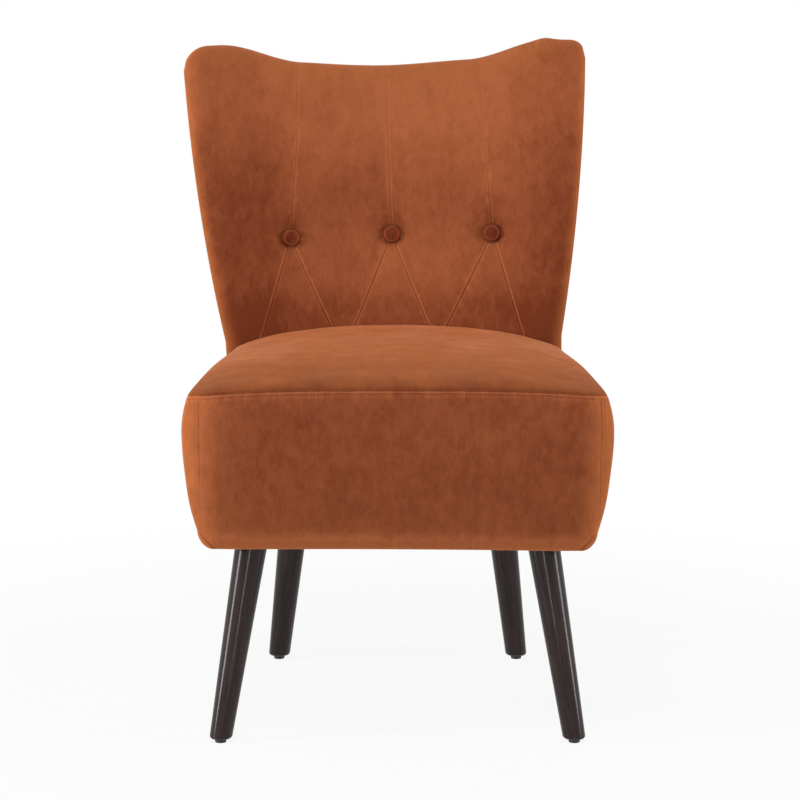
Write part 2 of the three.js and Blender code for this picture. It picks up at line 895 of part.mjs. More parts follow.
const springSideNames = ["left_outer", "left_inner", "right_inner", "right_outer"];
const outerSpringPlace = postInner(frameTop) - springPostGap - (springWidth + wireDiameter) / 2;
const springPlaces = evenly(-outerSpringPlace, outerSpringPlace, springSideNames.length - 1);
for (const [i, side] of springSideNames.entries()) {
  const placeX = springPlaces[i];
  const startY = frontRailRear - springEndInset;
  const endY = rearRailFront(placeX) + springEndInset;
  addPiece(side + "_spring", springGeometry(new ZigzagCurve(placeX, startY, endY)), "springSteel");
  addPiece(side + "_front_clip", clipGeometry(placeX, startY, 1), "zincSteel");
  addPiece(side + "_rear_clip", clipGeometry(placeX, endY, -1), "zincSteel");
}

const padRear = backFace(frameHalfWidth(seatDepth), deckHeight);
addPiece(
  "insulator_pad",
  plate(
    [
      [padInset - frameHalfWidth(frameFront), frameFront + padInset],
      [frameHalfWidth(frameFront) - padInset, frameFront + padInset],
      [frameHalfWidth(padRear) - padInset, padRear],
      [padInset - frameHalfWidth(padRear), padRear],
    ],
    padBottom,
    padBottom + padThickness,
  ),
  "felt",
);

// The back frame

// Heights at which the curved pieces of the back frame bend, above the seat frame.
const lumbarHeights = evenly(lumbarRailTop - lumbarRailHeight, lumbarRailTop, 2);
const crestHeights = evenly(crestRailTop - crestRailHeight, crestRailTop, 2);
const openHeights = evenly(lumbarRailTop, crestRailTop - crestRailHeight, 3).slice(1, -1);
const postHeights = [
  ...evenly(frameTop, lumbarHeights[0], 2).slice(0, -1),
  ...lumbarHeights,
  ...openHeights,
  ...crestHeights,
];

addPair(
  "back_post",
  cut(
    block({
      left: postInner,
      right: postOuter,
      heights: [postFoot, ...postHeights],
      front: frameFace,
      rear: (x, z) => frameFace(x, z) + postDepth,
    }),
    [boltHole],
  ),
  "frameWood",
);

const postBoltX = postInner(boltHeight);
addPair(
  "back_bolt",
  geometryFrom(
    solidFrom(
      rod(
        new THREE.Vector3(postBoltX - fitGap, postMidY, boltHeight),
        new THREE.Vector3(railInner(postMidY) + boltReach, postMidY, boltHeight),
        boltDiameter,
      ),
    ).add(
      solidFrom(
        rod(
          new THREE.Vector3(postBoltX - fitGap - boltHeadHeight, postMidY, boltHeight),
          new THREE.Vector3(postBoltX - fitGap, postMidY, boltHeight),
          boltHeadWidth,
          smallSides / 2,
        ),
      ),
    ),
  ),
  "zincSteel",
);

function crossRail(heights) {
  return block({
    left: (z) => fitGap - postInner(z),
    right: (z) => postInner(z) - fitGap,
    heights,
    front: frameFace,
    rear: (x, z) => frameFace(x, z) + railDepth,
    columns: 12,
  });
}

addPiece("crest_rail", crossRail(crestHeights), "frameWood");
addPiece("lumbar_rail", crossRail(lumbarHeights), "frameWood");

// The back's foam, covers, straps and buttons

const strapFace = (x, z) => frameFace(x, z) - fitGap - strapThickness;
const backSpace = block({
  left: (z) => -postOuter(z) - fitGap,
  right: (z) => postOuter(z) + fitGap,
  heights: [frameBottom, ...postHeights, crestRailTop + fitGap],
  front: (x, z) => strapFace(x, z) - 2 * fitGap,
  rear: (x, z) => frameFace(x, z) + 2 * backFootThickness,
  columns: 12,
});

// The direction that the face of the back points in at a button.
function faceNormal(x, z) {
  const step = buttonDiameter;
  const acrossSlope = (backFace(x + step, z) - backFace(x - step, z)) / (2 * step);
  const upSlope = (backFace(x, z + step) - backFace(x, z - step)) / (2 * step);
  return new THREE.Vector3(acrossSlope, -1, upSlope).normalize();
}

const twineHoles = [];
const buttonPlaces = { left: -buttonSpacing, middle: 0, right: buttonSpacing };
for (const [side, placeX] of Object.entries(buttonPlaces)) {
  const normal = faceNormal(placeX, buttonHeight);
  const seat = new THREE.Vector3(placeX, backFace(placeX, buttonHeight) + tuftDepth, buttonHeight);
  const radius = buttonDiameter / 2;
  const foot = seat.clone().addScaledVector(normal, buttonLift);
  const lens = [
    [0, 0],
    [radius / 2, buttonBelly / 2],
    [radius, buttonBelly],
    [radius * Math.cos(quarter / 3), buttonBelly + buttonDome / 2],
    [radius * Math.cos(quarter * (2 / 3)), buttonBelly + buttonDome * Math.sin(quarter * (2 / 3))],
    [0, buttonBelly + buttonDome],
  ];
  addPiece(side + "_button", turned(lens, foot, normal, smallSides), "velvet");

  const strapDepth = (strapFace(placeX, buttonHeight) - seat.y) * -normal.y;
  const past = strapThickness + 2 * fitGap;
  const twineRadius = twineDiameter / 2;
  const knotRadius = knotDiameter / 2;
  const inward = normal.clone().negate();
  const profile = [
    [0, 0],
    [twineRadius, 0],
    [twineRadius, strapDepth + past],
    [knotRadius, strapDepth + past],
    [knotRadius, strapDepth + past + knotRadius],
    [0, strapDepth + past + knotDiameter],
  ];
  addPiece(side + "_tufting_twine", turned(profile, seat, inward, smallSides / 2), "twine");
  const hole = rod(
    seat.clone().addScaledVector(normal, overrun),
    seat.clone().addScaledVector(inward, overrun),
    twineDiameter + 2 * fitGap,
    smallSides / 2,
  );
  twineHoles.push(hole);

  const strap = block({
    left: () => placeX - strapWidth / 2,
    right: () => placeX + strapWidth / 2,
    heights: [
      lumbarRailTop - strapLap,
      lumbarRailTop,
      ...openHeights,
      crestRailTop - crestRailHeight,
      crestRailTop - crestRailHeight + strapLap,
    ],
    front: strapFace,
    rear: (x, z) => strapFace(x, z) + strapThickness,
    columns: 2,
  });
  addPiece(side + "_webbing_strap", cut(strap, [hole]), "webbing");
}

addPiece(
  "back_foam",
  cut(stuffed(wholeBack(), coverThickness + stuffingGap), [backTunnel, backSpace, ...twineHoles]),
  "foam",
);
addPiece(
  "inside_back_cover",
  cut(shell(insideBack, coverThickness), [backTunnel, ...twineHoles]),
  "velvet",
);
addPiece("outside_back_cover", shell(outsideBack, coverThickness), "velvet");

// Legs, with their plates, bolts and glides

const plateTop = frameBottom - fitGap;
const plateBottom = plateTop - plateThickness;
const legTop = plateBottom - fitGap;
const legFoot = glideHeight + fitGap;
function legSet(name, topX, topY, footX, footY) {
  const top = new THREE.Vector3(topX, topY, legTop);
  const foot = new THREE.Vector3(footX, footY, legFoot);
  const axis = top.clone().sub(foot).normalize();
  const height = legTop - legFoot;
  const topRadius = legTopDiameter / 2;
  const endRadius = legFootDiameter / 2;

  // Leaning the upright turning over keeps both of its ends level.
  const lean = new THREE.Matrix4().makeShear(0, 0, 0, 0, (topX - footX) / height, (topY - footY) / height);
  const upright = new THREE.LatheGeometry(
    [
      [0, 0],
      [endRadius - legChamfer, 0],
      [endRadius, legChamfer],
      [topRadius, height],
      [0, height],
    ].map(([radius, z]) => new THREE.Vector2(radius, z)),
    roundSides,
  ).rotateX(quarter);
  upright.applyMatrix4(lean).translate(footX, footY, legFoot);
  const hanger = (from, to, diameter) =>
    rod(
      top.clone().addScaledVector(axis, from),
      top.clone().addScaledVector(axis, to),
      diameter,
    );
  const bore = hanger(-hangerInLeg - fitGap, overrun, hangerDiameter + 2 * fitGap);
  addPair(name + "_leg", cut(upright, [bore]), "stainedWood");

  const hangerRadius = hangerDiameter / 2;
  const hangerLength = hangerInLeg + hangerAbove;
  const hangerProfile = [
    [0, 0],
    [hangerRadius / 2, 0],
    [hangerRadius, hangerPoint],
    [hangerRadius, hangerLength],
    [0, hangerLength],
  ];
  const hangerFoot = top.clone().addScaledVector(axis, -hangerInLeg);
  addPair(name + "_hanger_bolt", turned(hangerProfile, hangerFoot, axis, smallSides), "zincSteel");

  const half = plateSide / 2;
  const flat = plate(
    [
      [topX - half, topY - half],
      [topX + half, topY - half],
      [topX + half, topY + half],
      [topX - half, topY + half],
    ],
    plateBottom,
    plateTop,
  );
  const hub = hanger(plateThickness, plateThickness + hubHeight, hubDiameter);
  const screwPlace = half - plateScrewInset;
  const screwHoles = [-screwPlace, screwPlace].flatMap((dx) =>
    [-screwPlace, screwPlace].map((dy) =>
      rod(
        new THREE.Vector3(topX + dx, topY + dy, plateBottom - overrun),
        new THREE.Vector3(topX + dx, topY + dy, plateTop + overrun),
        plateScrewDiameter,
        smallSides / 2,
      ),
    ),
  );
  const joined = solidFrom(flat).add(solidFrom(hub));
  addPair(name + "_leg_plate", geometryFrom(carve(joined, [bore, ...screwHoles])), "zincSteel");

  const glideRadius = glideDiameter / 2;
  const glideProfile = [
    [0, 0],
    [glideRadius - glideChamfer, 0],
    [glideRadius, glideChamfer],
    [glideRadius, glideHeight],
    [0, glideHeight],
  ];
  const glideFoot = new THREE.Vector3(footX, footY, 0);
  addPair(name + "_glide", turned(glideProfile, glideFoot, new THREE.Vector3(0, 0, 1)), "blackPlastic");
}

legSet("front", frontLegTopX, frontLegTopY, frontLegTopX + frontSplay, frontLegTopY - frontRake);
legSet("rear", rearLegTopX, rearLegTopY, rearLegTopX + rearSplay, rearLegTopY + rearRake);

const dustFront = frameFront + dustInset;
const dustRear = rearRailRear(frameHalfWidth(seatDepth));
addPiece(
  "dust_cover",
  cut(
    plate(
      [
        [dustInset - frameHalfWidth(dustFront), dustFront],
        [frameHalfWidth(dustFront) - dustInset, dustFront],
        [frameHalfWidth(dustRear) - dustInset, dustRear],
        [dustInset - frameHalfWidth(dustRear), dustRear],
      ],
      underside - fitGap - dustThickness,
      underside - fitGap,
    ),
    plateOpenings,
  ),
  "blackCloth",
);

// The chair stands on the floor with the middle of its footprint at the origin.
const box = new THREE.Box3().setFromObject(chair);
chair.position.y = -(box.min.y + box.max.y) / 2;

export default chair;
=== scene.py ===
"""Dresses the slipper chair: sewn velvet covers, turned legs, underside and a plain studio.

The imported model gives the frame. Lengths are metres, +Z is up, -Y is the front of the chair and
left is -X, as seen from the front.
"""

import logging
import math
from collections.abc import Callable, Sequence
from dataclasses import dataclass, field
from enum import Enum
from functools import cache, cached_property

import bmesh
import bpy
from mathutils import Matrix, Vector, noise


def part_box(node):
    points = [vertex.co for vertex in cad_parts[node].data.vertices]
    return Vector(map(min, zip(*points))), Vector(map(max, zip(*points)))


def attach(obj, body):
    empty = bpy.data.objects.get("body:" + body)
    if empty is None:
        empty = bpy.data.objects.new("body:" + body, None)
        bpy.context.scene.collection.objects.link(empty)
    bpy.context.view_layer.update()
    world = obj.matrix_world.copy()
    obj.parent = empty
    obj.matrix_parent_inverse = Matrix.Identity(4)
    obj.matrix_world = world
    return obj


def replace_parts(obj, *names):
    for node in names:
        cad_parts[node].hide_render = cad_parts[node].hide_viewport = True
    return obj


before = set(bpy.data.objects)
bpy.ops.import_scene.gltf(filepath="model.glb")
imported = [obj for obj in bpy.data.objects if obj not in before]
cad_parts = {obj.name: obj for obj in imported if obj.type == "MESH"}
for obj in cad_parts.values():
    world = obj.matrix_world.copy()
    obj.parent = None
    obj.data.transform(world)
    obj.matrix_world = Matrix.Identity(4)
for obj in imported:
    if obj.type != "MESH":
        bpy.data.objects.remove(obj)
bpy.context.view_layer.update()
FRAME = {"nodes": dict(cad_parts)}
LOG = logging.getLogger("slipper_chair")
BODY = "root"
Colour = tuple[float, float, float]
UP = Vector((0, 0, 1))

Pair = tuple[float, float]
Piece = bpy.types.Object
Shape = bmesh.types.BMesh
Point = bmesh.types.BMVert
Edge = bmesh.types.BMEdge
Layer = bmesh.types.BMLayerItem


# Numbers


def mix(low: float, high: float, share: float) -> float:
    """The value at a share of the way from low to high."""
    return low + (high - low) * share


def ease(value: float, low: float, high: float) -> float:
    """A smooth step from 0 at low to 1 at high."""
    share = min(max((value - low) / (high - low), 0.0), 1.0)
    return share * share * (3 - 2 * share)


def bell(distance: float, width: float) -> float:
    """A bell curve, 1 at no distance."""
    return math.exp(-((distance / width) ** 2))


@dataclass(frozen=True)
class Mark:
    """A bell-shaped mark that a seam, a fold or a pucker leaves beside its line."""

    size: float
    width: float
    offset: float = 0.0

    def at(self, distance: float) -> float:
        """How strong the mark is at a distance from the line."""
        return self.size * bell(distance - self.offset, self.width)


def strongest(marks: Sequence[Mark], distance: float) -> float:
    """The strongest of some marks at a distance from their line."""
    return max(mark.at(distance) for mark in marks)


def rough(broad: Vector, fine: Vector, sizes: Pair) -> float:
    """Noise at two scales, each with its own size."""
    return sizes[0] * noise.noise(broad) + sizes[1] * noise.noise(fine)


def graded(stops: Sequence[float], steps: Sequence[float]) -> list[float]:
    """Places from the first stop to the last, with their own spacing in each stretch.

    Args:
        stops: The ends of the stretches.
        steps: The wanted spacing in each stretch, one fewer than the stops.

    Returns:
        The places, both ends included.
    """
    places = [stops[0]]
    for low, high, step in zip(stops, stops[1:], steps):
        count = max(round(abs(high - low) / step), 1)
        places += [mix(low, high, k / count) for k in range(1, count + 1)]
    return places


def mirrored(places: Sequence[float]) -> list[float]:
    """Places from 0 outwards, with the same places on the other side of 0 before them."""
    return [-place for place in reversed(places[1:])] + list(places)


def to_segment(point: Pair, start: Pair, end: Pair) -> Pair:
    """How far a point lies beside a straight line between two others.

    Args:
        point: The place, as x and z.
        start: Where the line starts.
        end: Where it ends.

    Returns:
        The signed distance from the line, positive to its right, and the share along it.
    """
    along = (end[0] - start[0], end[1] - start[1])
    length = math.hypot(*along)
    offset = (point[0] - start[0], point[1] - start[1])
    share = (offset[0] * along[0] + offset[1] * along[1]) / length**2
    return (offset[0] * along[1] - offset[1] * along[0]) / length, share


# Meshes


def new_piece(name: str, shape: Shape, finish: "Finish") -> Piece:
    """Makes a finished, smooth-shaded object of a mesh and lets it ride on the chair.

    Args:
        name: The object's name.
        shape: The mesh, which is freed.
        finish: What it is made of.

    Returns:
        The new object.
    """
    mesh = bpy.data.meshes.new(name)
    for face in shape.faces:
        face.smooth = True
    shape.to_mesh(mesh)
    shape.free()
    piece = bpy.data.objects.new(name, mesh)
    bpy.context.scene.collection.objects.link(piece)
    mesh.materials.append(finish.material())
    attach(piece, BODY)
    LOG.info("%s: %d faces", name, len(mesh.polygons))
    return piece


def net(columns: Sequence[float], rows: Sequence[float]) -> tuple[Shape, Layer]:
    """A net of quads whose points carry their own column and row values.

    Args:
        columns: The values across.
        rows: The values up.

    Returns:
        The mesh and the layer that holds each point's (column, row, 0).
    """
    shape = bmesh.new()
    bmesh.ops.create_grid(shape, x_segments=len(columns) - 1, y_segments=len(rows) - 1, size=1.0)
    spot = shape.verts.layers.float_vector.new("spot")
    for point in shape.verts:
        column = round((point.co.x + 1) / 2 * (len(columns) - 1))
        row = round((point.co.y + 1) / 2 * (len(rows) - 1))
        point[spot] = (columns[column], rows[row], 0.0)
    return shape, spot


def extruded(shape: Shape, edges: Sequence[Edge], move: Callable[[Point], None]) -> list[Edge]:
    """Extrudes edges and moves the new points.

    Args:
        shape: The mesh.
        edges: The edges to extrude.
        move: Places one new point.

    Returns:
        The new edges, parallel to the old ones.
    """
    made = bmesh.ops.extrude_edge_only(shape, edges=edges)["geom"]
    points = {item for item in made if isinstance(item, Point)}
    for point in points:
        move(point)
    return [item for item in made if isinstance(item, Edge) and points.issuperset(item.verts)]


def refine(shape: Shape, wanted: Callable[[Point], bool], cuts: int) -> None:
    """Subdivides the part of a mesh whose points are wanted."""
    chosen = {point for point in shape.verts if wanted(point)}
    edges = [edge for edge in shape.edges if chosen.issuperset(edge.verts)]
    bmesh.ops.subdivide_edges(shape, edges=edges, cuts=cuts, use_grid_fill=True)


def leave_out(shape: Shape, hidden: Callable[[Vector, Vector], bool]) -> None:
    """Deletes the faces that are hidden, as their centres and normals tell."""
    faces = [face for face in shape.faces if hidden(face.calc_center_median(), face.normal)]
    bmesh.ops.delete(shape, geom=faces, context="FACES")


def shade_layers(shape: Shape) -> tuple[Layer, Layer]:
    """Layers for the painted shade at each point and for its painted light."""
    return shape.verts.layers.float.new("crease"), shape.verts.layers.float.new("pile_and_painted_light")


def face_out(shape: Shape) -> None:
    """Merges doubles and turns the faces outwards."""
    bmesh.ops.remove_doubles(shape, verts=shape.verts, dist=1e-6)
    bmesh.ops.recalc_face_normals(shape, faces=shape.faces)


def set_along(place: Vector, along: Vector, across: Vector, size: Sequence[float]) -> Matrix:
    """Sets a unit shape at a place, in its own directions and size.

    Args:
        place: Where its centre comes.
        along: The direction of its length.
        across: The direction of its width.
        size: Its length, width and height.

    Returns:
        The matrix that moves it there.
    """
    frame = Matrix((along, across, along.cross(across))).transposed().to_4x4()
    return Matrix.Translation(place) @ frame @ Matrix.Diagonal((*size, 1))


def thicken(piece: Piece, thickness: float) -> None:
    """Gives a cover its thickness, inwards."""
    wall = piece.modifiers.new("cloth", "SOLIDIFY")
    wall.thickness = thickness
    wall.offset = -1
    wall.use_rim = True


def lathe(profile: Sequence[Pair], sides: int) -> Shape:
    """A turned shape round +Z.

    Args:
        profile: Radius and height, from the foot up; the ends lie on the axis.
        sides: Steps round the axis.

    Returns:
        The closed mesh.
    """
    shape = bmesh.new()
    points = [shape.verts.new((radius, 0, height)) for radius, height in profile]
    edges = [shape.edges.new(pair) for pair in zip(points, points[1:])]
    bmesh.ops.spin(
        shape,
        geom=points + edges,
        cent=(0, 0, 0),
        axis=(0, 0, 1),
        angle=math.tau,
        steps=sides,
        use_merge=True,
        use_duplicate=False,
    )
    face_out(shape)
    return shape


def rounded(corners: Sequence[Pair], radius: float, steps: int = 4) -> list[Pair]:
    """An open profile with its inner corners rounded.

    Args:
        corners: The profile's points.
        radius: The rounding, held to half of each neighbouring stretch.
        steps: Points added round each corner.

    Returns:
        The points of the rounded profile.
    """
    points = [corners[0]]
    for before, corner, after in zip(corners, corners[1:], corners[2:]):
        here = Vector(corner)
        back, ahead = Vector(before) - here, Vector(after) - here
        reach = min(radius, back.length / 2, ahead.length / 2)
        start, end = here + back.normalized() * reach, here + ahead.normalized() * reach
        for k in range(steps + 1):
            share = k / steps
            points.append(tuple(start.lerp(here, share).lerp(here.lerp(end, share), share)))
    return [*points, corners[-1]]


# Finishes


def math_node(operation: str, swapped: bool = False) -> "Callable[[Field, Field | float], Field]":
    """Makes an operator that adds one Math node.

    Args:
        operation: The node's operation.
        swapped: Whether the other value comes first.

    Returns:
        The operator.
    """

    def apply(field_value: "Field", other: "Field | float") -> "Field":
        """The node's value."""
        first, second = (other, field_value) if swapped else (field_value, other)
        settings = {"operation": operation}
        return field_value.tree.node("ShaderNodeMath", settings, {0: first, 1: second})

    return apply


class Field:
    """A shader value on which Python's operators add Math nodes."""

    def __init__(self, tree: "ShaderTree", socket: bpy.types.NodeSocket) -> None:
        """Wraps one output socket of a tree."""
        self.tree = tree
        self.socket = socket

    __add__ = __radd__ = math_node("ADD")
    __sub__ = math_node("SUBTRACT")
    __rsub__ = math_node("SUBTRACT", swapped=True)
    __mul__ = __rmul__ = math_node("MULTIPLY")
    power = math_node("POWER")

    def ramp(self, low: float, high: float) -> "Field":
        """A smooth step from 0 at low to 1 at high."""
        settings = {"interpolation_type": "SMOOTHSTEP"}
        values = {"Value": self, "From Min": low, "From Max": high}
        return self.tree.node("ShaderNodeMapRange", settings, values)


class ShaderTree:
    """The nodes of one material, or of the world."""

    def __init__(self, owner: bpy.types.Material | bpy.types.World) -> None:
        """Starts with no nodes on a material or the world."""
        owner.use_nodes = True
        self.nodes = owner.node_tree
        self.nodes.nodes.clear()

    def node(
        self,
        kind: str,
        settings: dict[str, object] | None = None,
        values: "dict[str | int, Field | float | Colour] | None" = None,
        output: int | str = 0,
    ) -> Field:
        """Adds a node.

        Args:
            kind: The node's type.
            settings: Its settings, set first.
            values: Values or links for its input sockets.
            output: The output wanted.

        Returns:
            That output.
        """
        node = self.nodes.nodes.new(kind)
        for name, setting in (settings or {}).items():
            setattr(node, name, setting)
        for name, value in (values or {}).items():
            if isinstance(value, Field):
                self.nodes.links.new(value.socket, node.inputs[name])
            else:
                node.inputs[name].default_value = value
        return Field(self, node.outputs[output])

    def coordinates(self, stretch: Colour = (1.0, 1.0, 1.0), attribute: str | None = None) -> Field:
        """Object coordinates, or a piece's own attribute, scaled along each axis."""
        if attribute:
            place = self.attribute(attribute, "Vector")
        else:
            place = self.node("ShaderNodeTexCoord", output="Object")
        return self.node("ShaderNodeMapping", values={"Vector": place, "Scale": stretch})

    def attribute(self, name: str, output: str = "Fac") -> Field:
        """A value that the piece's own points carry."""
        return self.node("ShaderNodeAttribute", {"attribute_name": name}, output=output)

    def grain(
        self, place: Field, scale: float, detail: float = 3.0, distortion: float = 0.0
    ) -> Field:
        """Noise from 0 to 1 at a scale per metre."""
        values = {"Vector": place, "Scale": scale, "Detail": detail, "Distortion": distortion}
        return self.node("ShaderNodeTexNoise", values=values)

    def blend(self, share: Field | float, low: Field | Colour, high: Field | Colour) -> Field:
        """A colour between two others."""
        first = low if isinstance(low, Field) else (*low, 1.0)
        second = high if isinstance(high, Field) else (*high, 1.0)
        return self.node("ShaderNodeMix", {"data_type": "RGBA"}, {0: share, 6: first, 7: second}, 2)

    def bump(
        self, height: Field, distance: float, strength: float = 1.0, under: Field | None = None
    ) -> Field:
        """A normal raised by a height, on top of another normal where one is given."""
        values = {"Height": height, "Distance": distance, "Strength": strength}
        if under:
            values["Normal"] = under
        return self.node("ShaderNodeBump", values=values)

    def principled(
        self,
        colour: Field,
        roughness: Field | float,
        normal: Field,
        constants: dict[str, object] | None = None,
    ) -> Field:
        """The principled shader, with constants for its other sockets."""
        values = {"Base Color": colour, "Roughness": roughness, "Normal": normal}
        return self.node("ShaderNodeBsdfPrincipled", values={**values, **(constants or {})})

    def show(self, surface: Field, kind: str = "ShaderNodeOutputMaterial") -> None:
        """Joins a shader to the output."""
        self.nodes.links.new(surface.socket, self.nodes.nodes.new(kind).inputs["Surface"])


def linear(red: int, green: int, blue: int) -> Colour:
    """A colour as the renderer works with it, from its screen values."""
    return tuple(
        (value / 255) / 12.92 if value / 255 < 0.04045 else ((value / 255 + 0.055) / 1.055) ** 2.4
        for value in (red, green, blue)
    )


@dataclass(frozen=True)
class Finish:
    """What a piece is made of."""

    name: str

    def surface(self, tree: ShaderTree) -> Field:
        """The shader; each finish gives its own."""
        raise NotImplementedError

    @cache
    def material(self) -> bpy.types.Material:
        """The finish's one material, made the first time it is asked for."""
        material = bpy.data.materials.new(self.name)
        tree = ShaderTree(material)
        tree.show(self.surface(tree))
        return material


@dataclass(frozen=True)
class Velvet(Finish):
    """Short-pile velvet, with painted light, painted shade and a painted sheen in its colour."""

    deep: Colour = linear(111, 50, 25)
    light: Colour = linear(166, 93, 56)
    # Painted shade in creases, seams and round button rims, and the dark specks of the fine pile.
    pile_and_crease_shade: Colour = linear(88, 38, 20)
    # The painted sheen: a paler, golden colour blended in where the surface turns away from view.
    painted_sheen: Colour = linear(212, 120, 57)
    # The painted rim light at the most grazing edges.
    rim: Colour = linear(232, 164, 130)
    painted_sheen_share: float = 0.46
    painted_rim_light_share: float = 1.3
    sheen: Colour = (1.0, 0.40, 0.18)
    sheen_weight: float = 0.16

    def surface(self, tree: ShaderTree) -> Field:
        """Cloudy nap and fine pile, painted light and shade from each point's values, a painted
        sheen and a painted rim light at grazing angles, and painted shade in creases.
        """
        place = tree.coordinates()
        clouds = tree.grain(place, 14, 3, 0.3)
        mottle = tree.grain(tree.coordinates((1.0, 0.3, 0.6)), 75, 4, 0.6)
        spots = tree.grain(tree.coordinates((1.0, 0.25, 0.6)), 210, 3, 0.8)
        strokes = tree.grain(tree.coordinates((1.0, 1.0, 0.10)), 520, 2)
        pile = tree.grain(place, 1500, 2)
        pile_and_painted_light = clouds * 0.25 + mottle * 0.38 + spots * 0.21 + strokes * 0.16
        # The points' painted light and their painted shade.
        tone, crease = tree.attribute("pile_and_painted_light"), tree.attribute("crease")
        # Random pile tone, lightened and darkened by the painted light.
        colour = tree.blend(pile_and_painted_light * 1.82 + tone * 0.7 - 0.61, self.deep, self.light)
        # Painted sheen at grazing angles, stronger where the pile noise is light.
        edge = tree.node("ShaderNodeLayerWeight", values={"Blend": 0.5}, output="Facing")
        colour = tree.blend(edge * (pile_and_painted_light * 1.4 + 0.3) * self.painted_sheen_share, colour, self.painted_sheen)
        # Painted rim light at the most grazing edges, as strong as the points' painted light.
        colour = tree.blend(edge.power(10) * tone * self.painted_rim_light_share, colour, self.rim)
        # Painted shade in creases, seams and round button rims.
        colour = tree.blend(crease, colour, self.pile_and_crease_shade)
        colour = tree.blend(pile.ramp(0.25, 0.75) * 0.12, colour, self.pile_and_crease_shade)
        soft = tree.bump(mottle * 0.6 + spots * 0.4, 0.003, 0.25)
        constants = {
            "Specular IOR Level": 0.1,
            "Sheen Weight": self.sheen_weight,
            "Sheen Roughness": 0.4,
            "Sheen Tint": (*self.sheen, 1.0),
        }
        normal = tree.bump(pile, 0.0004, 0.4, soft)
        return tree.principled(colour, 0.9 - 0.1 * pile_and_painted_light, normal, constants)


@dataclass(frozen=True)
class StainedWood(Finish):
    """Dark stained, lacquered wood whose grain runs along the leg."""

    dark: Colour = linear(25, 14, 12)
    pale: Colour = linear(48, 31, 27)

    def surface(self, tree: ShaderTree) -> Field:
        """Fine grain lines and pores under a satin lacquer."""
        along = tree.coordinates((1.0, 1.0, 0.05), "grain")
        figure = tree.grain(along, 260, 5, 0.8)
        pores = tree.grain(tree.coordinates((1.0, 1.0, 0.03), "grain"), 1400, 2)
        colour = tree.blend(figure.ramp(0.35, 0.7), self.dark, self.pale)
        lines = pores.ramp(0.60, 0.72)
        colour = tree.blend(lines * 0.5, colour, linear(22, 15, 14))
        lacquer = {"Specular IOR Level": 0.06, "Coat Weight": 0.42, "Coat Roughness": 0.16}
        normal = tree.bump(1 - lines, 0.00015, 0.4)
        return tree.principled(colour, 0.42 + 0.1 * figure, normal, lacquer)


@dataclass(frozen=True)
class SawnWood(Finish):
    """Unfinished frame timber."""

    early: Colour = linear(214, 178, 130)
    late: Colour = linear(176, 132, 84)

    def surface(self, tree: ShaderTree) -> Field:
        """Growth rings and saw marks."""
        rings = tree.grain(tree.coordinates((0.25, 1.0, 1.0)), 60, 5, 1.2)
        marks = tree.grain(tree.coordinates((4.0, 0.6, 0.6)), 300, 2)
        colour = tree.blend(rings.ramp(0.35, 0.65), self.early, self.late)
        return tree.principled(colour, 0.72, tree.bump(rings * 0.5 + marks * 0.5, 0.0006, 0.5))


@dataclass(frozen=True)
class Stuffing(Finish):
    """Foam, felt or another porous filling."""

    base: Colour
    shade: Colour
    cell: float

    def surface(self, tree: ShaderTree) -> Field:
        """Open cells at their own scale."""
        cells = tree.grain(tree.coordinates(), self.cell, 3)
        colour = tree.blend(cells.ramp(0.3, 0.7), self.base, self.shade)
        return tree.principled(colour, 0.95, tree.bump(cells, 0.0008, 0.6))


@dataclass(frozen=True)
class Woven(Finish):
    """Webbing, twine or dust cloth, with crossing threads."""

    thread: Colour
    gap: Colour
    pitch: float

    def surface(self, tree: ShaderTree) -> Field:
        """Two sets of threads."""
        place = tree.coordinates()
        scale = 1 / self.pitch / math.pi
        values = {"Vector": place, "Scale": scale, "Distortion": 0.6, "Detail": 1.0}
        waves = [
            tree.node("ShaderNodeTexWave", {"bands_direction": direction}, values, "Fac")
            for direction in ("X", "Z", "Y")
        ]
        weave = (waves[0] + waves[1] + waves[2]) * (1 / 3)
        specks = tree.grain(place, 2 / self.pitch, 2)
        colour = tree.blend(weave * 0.6 + specks * 0.4, self.gap, self.thread)
        return tree.principled(colour, 0.88, tree.bump(weave, self.pitch / 4, 0.5))


@dataclass(frozen=True)
class Steel(Finish):
    """Zinc-plated sheet or oiled spring wire."""

    bright: Colour
    dull: Colour
    roughness: float

    def surface(self, tree: ShaderTree) -> Field:
        """Metal with a faint spangle and handling marks."""
        place = tree.coordinates()
        cells = {"Vector": place, "Scale": 140.0}
        spangle = tree.node("ShaderNodeTexVoronoi", values=cells, output="Color")
        marks = tree.grain(place, 90, 4, 0.6)
        colour = tree.blend(marks.ramp(0.3, 0.75), self.bright, self.dull)
        tone = tree.node("ShaderNodeSeparateColor", values={"Color": spangle})
        roughness = self.roughness + 0.12 * tone + 0.1 * marks
        return tree.principled(colour, roughness, tree.bump(marks, 0.0002, 0.3), {"Metallic": 1.0})


@dataclass(frozen=True)
class Nylon(Finish):
    """Black moulded nylon with a fine matt texture."""

    base: Colour = linear(26, 25, 26)
    scuff: Colour = linear(58, 56, 56)

    def surface(self, tree: ShaderTree) -> Field:
        """Spark-eroded texture with a few scuffs."""
        place = tree.coordinates()
        fine = tree.grain(place, 2600, 2)
        scuffs = tree.grain(place, 160, 5, 1.5).ramp(0.6, 0.75)
        colour = tree.blend(scuffs * 0.4, self.base, self.scuff)
        return tree.principled(colour, 0.5 + 0.15 * fine, tree.bump(fine, 0.0001, 0.5))


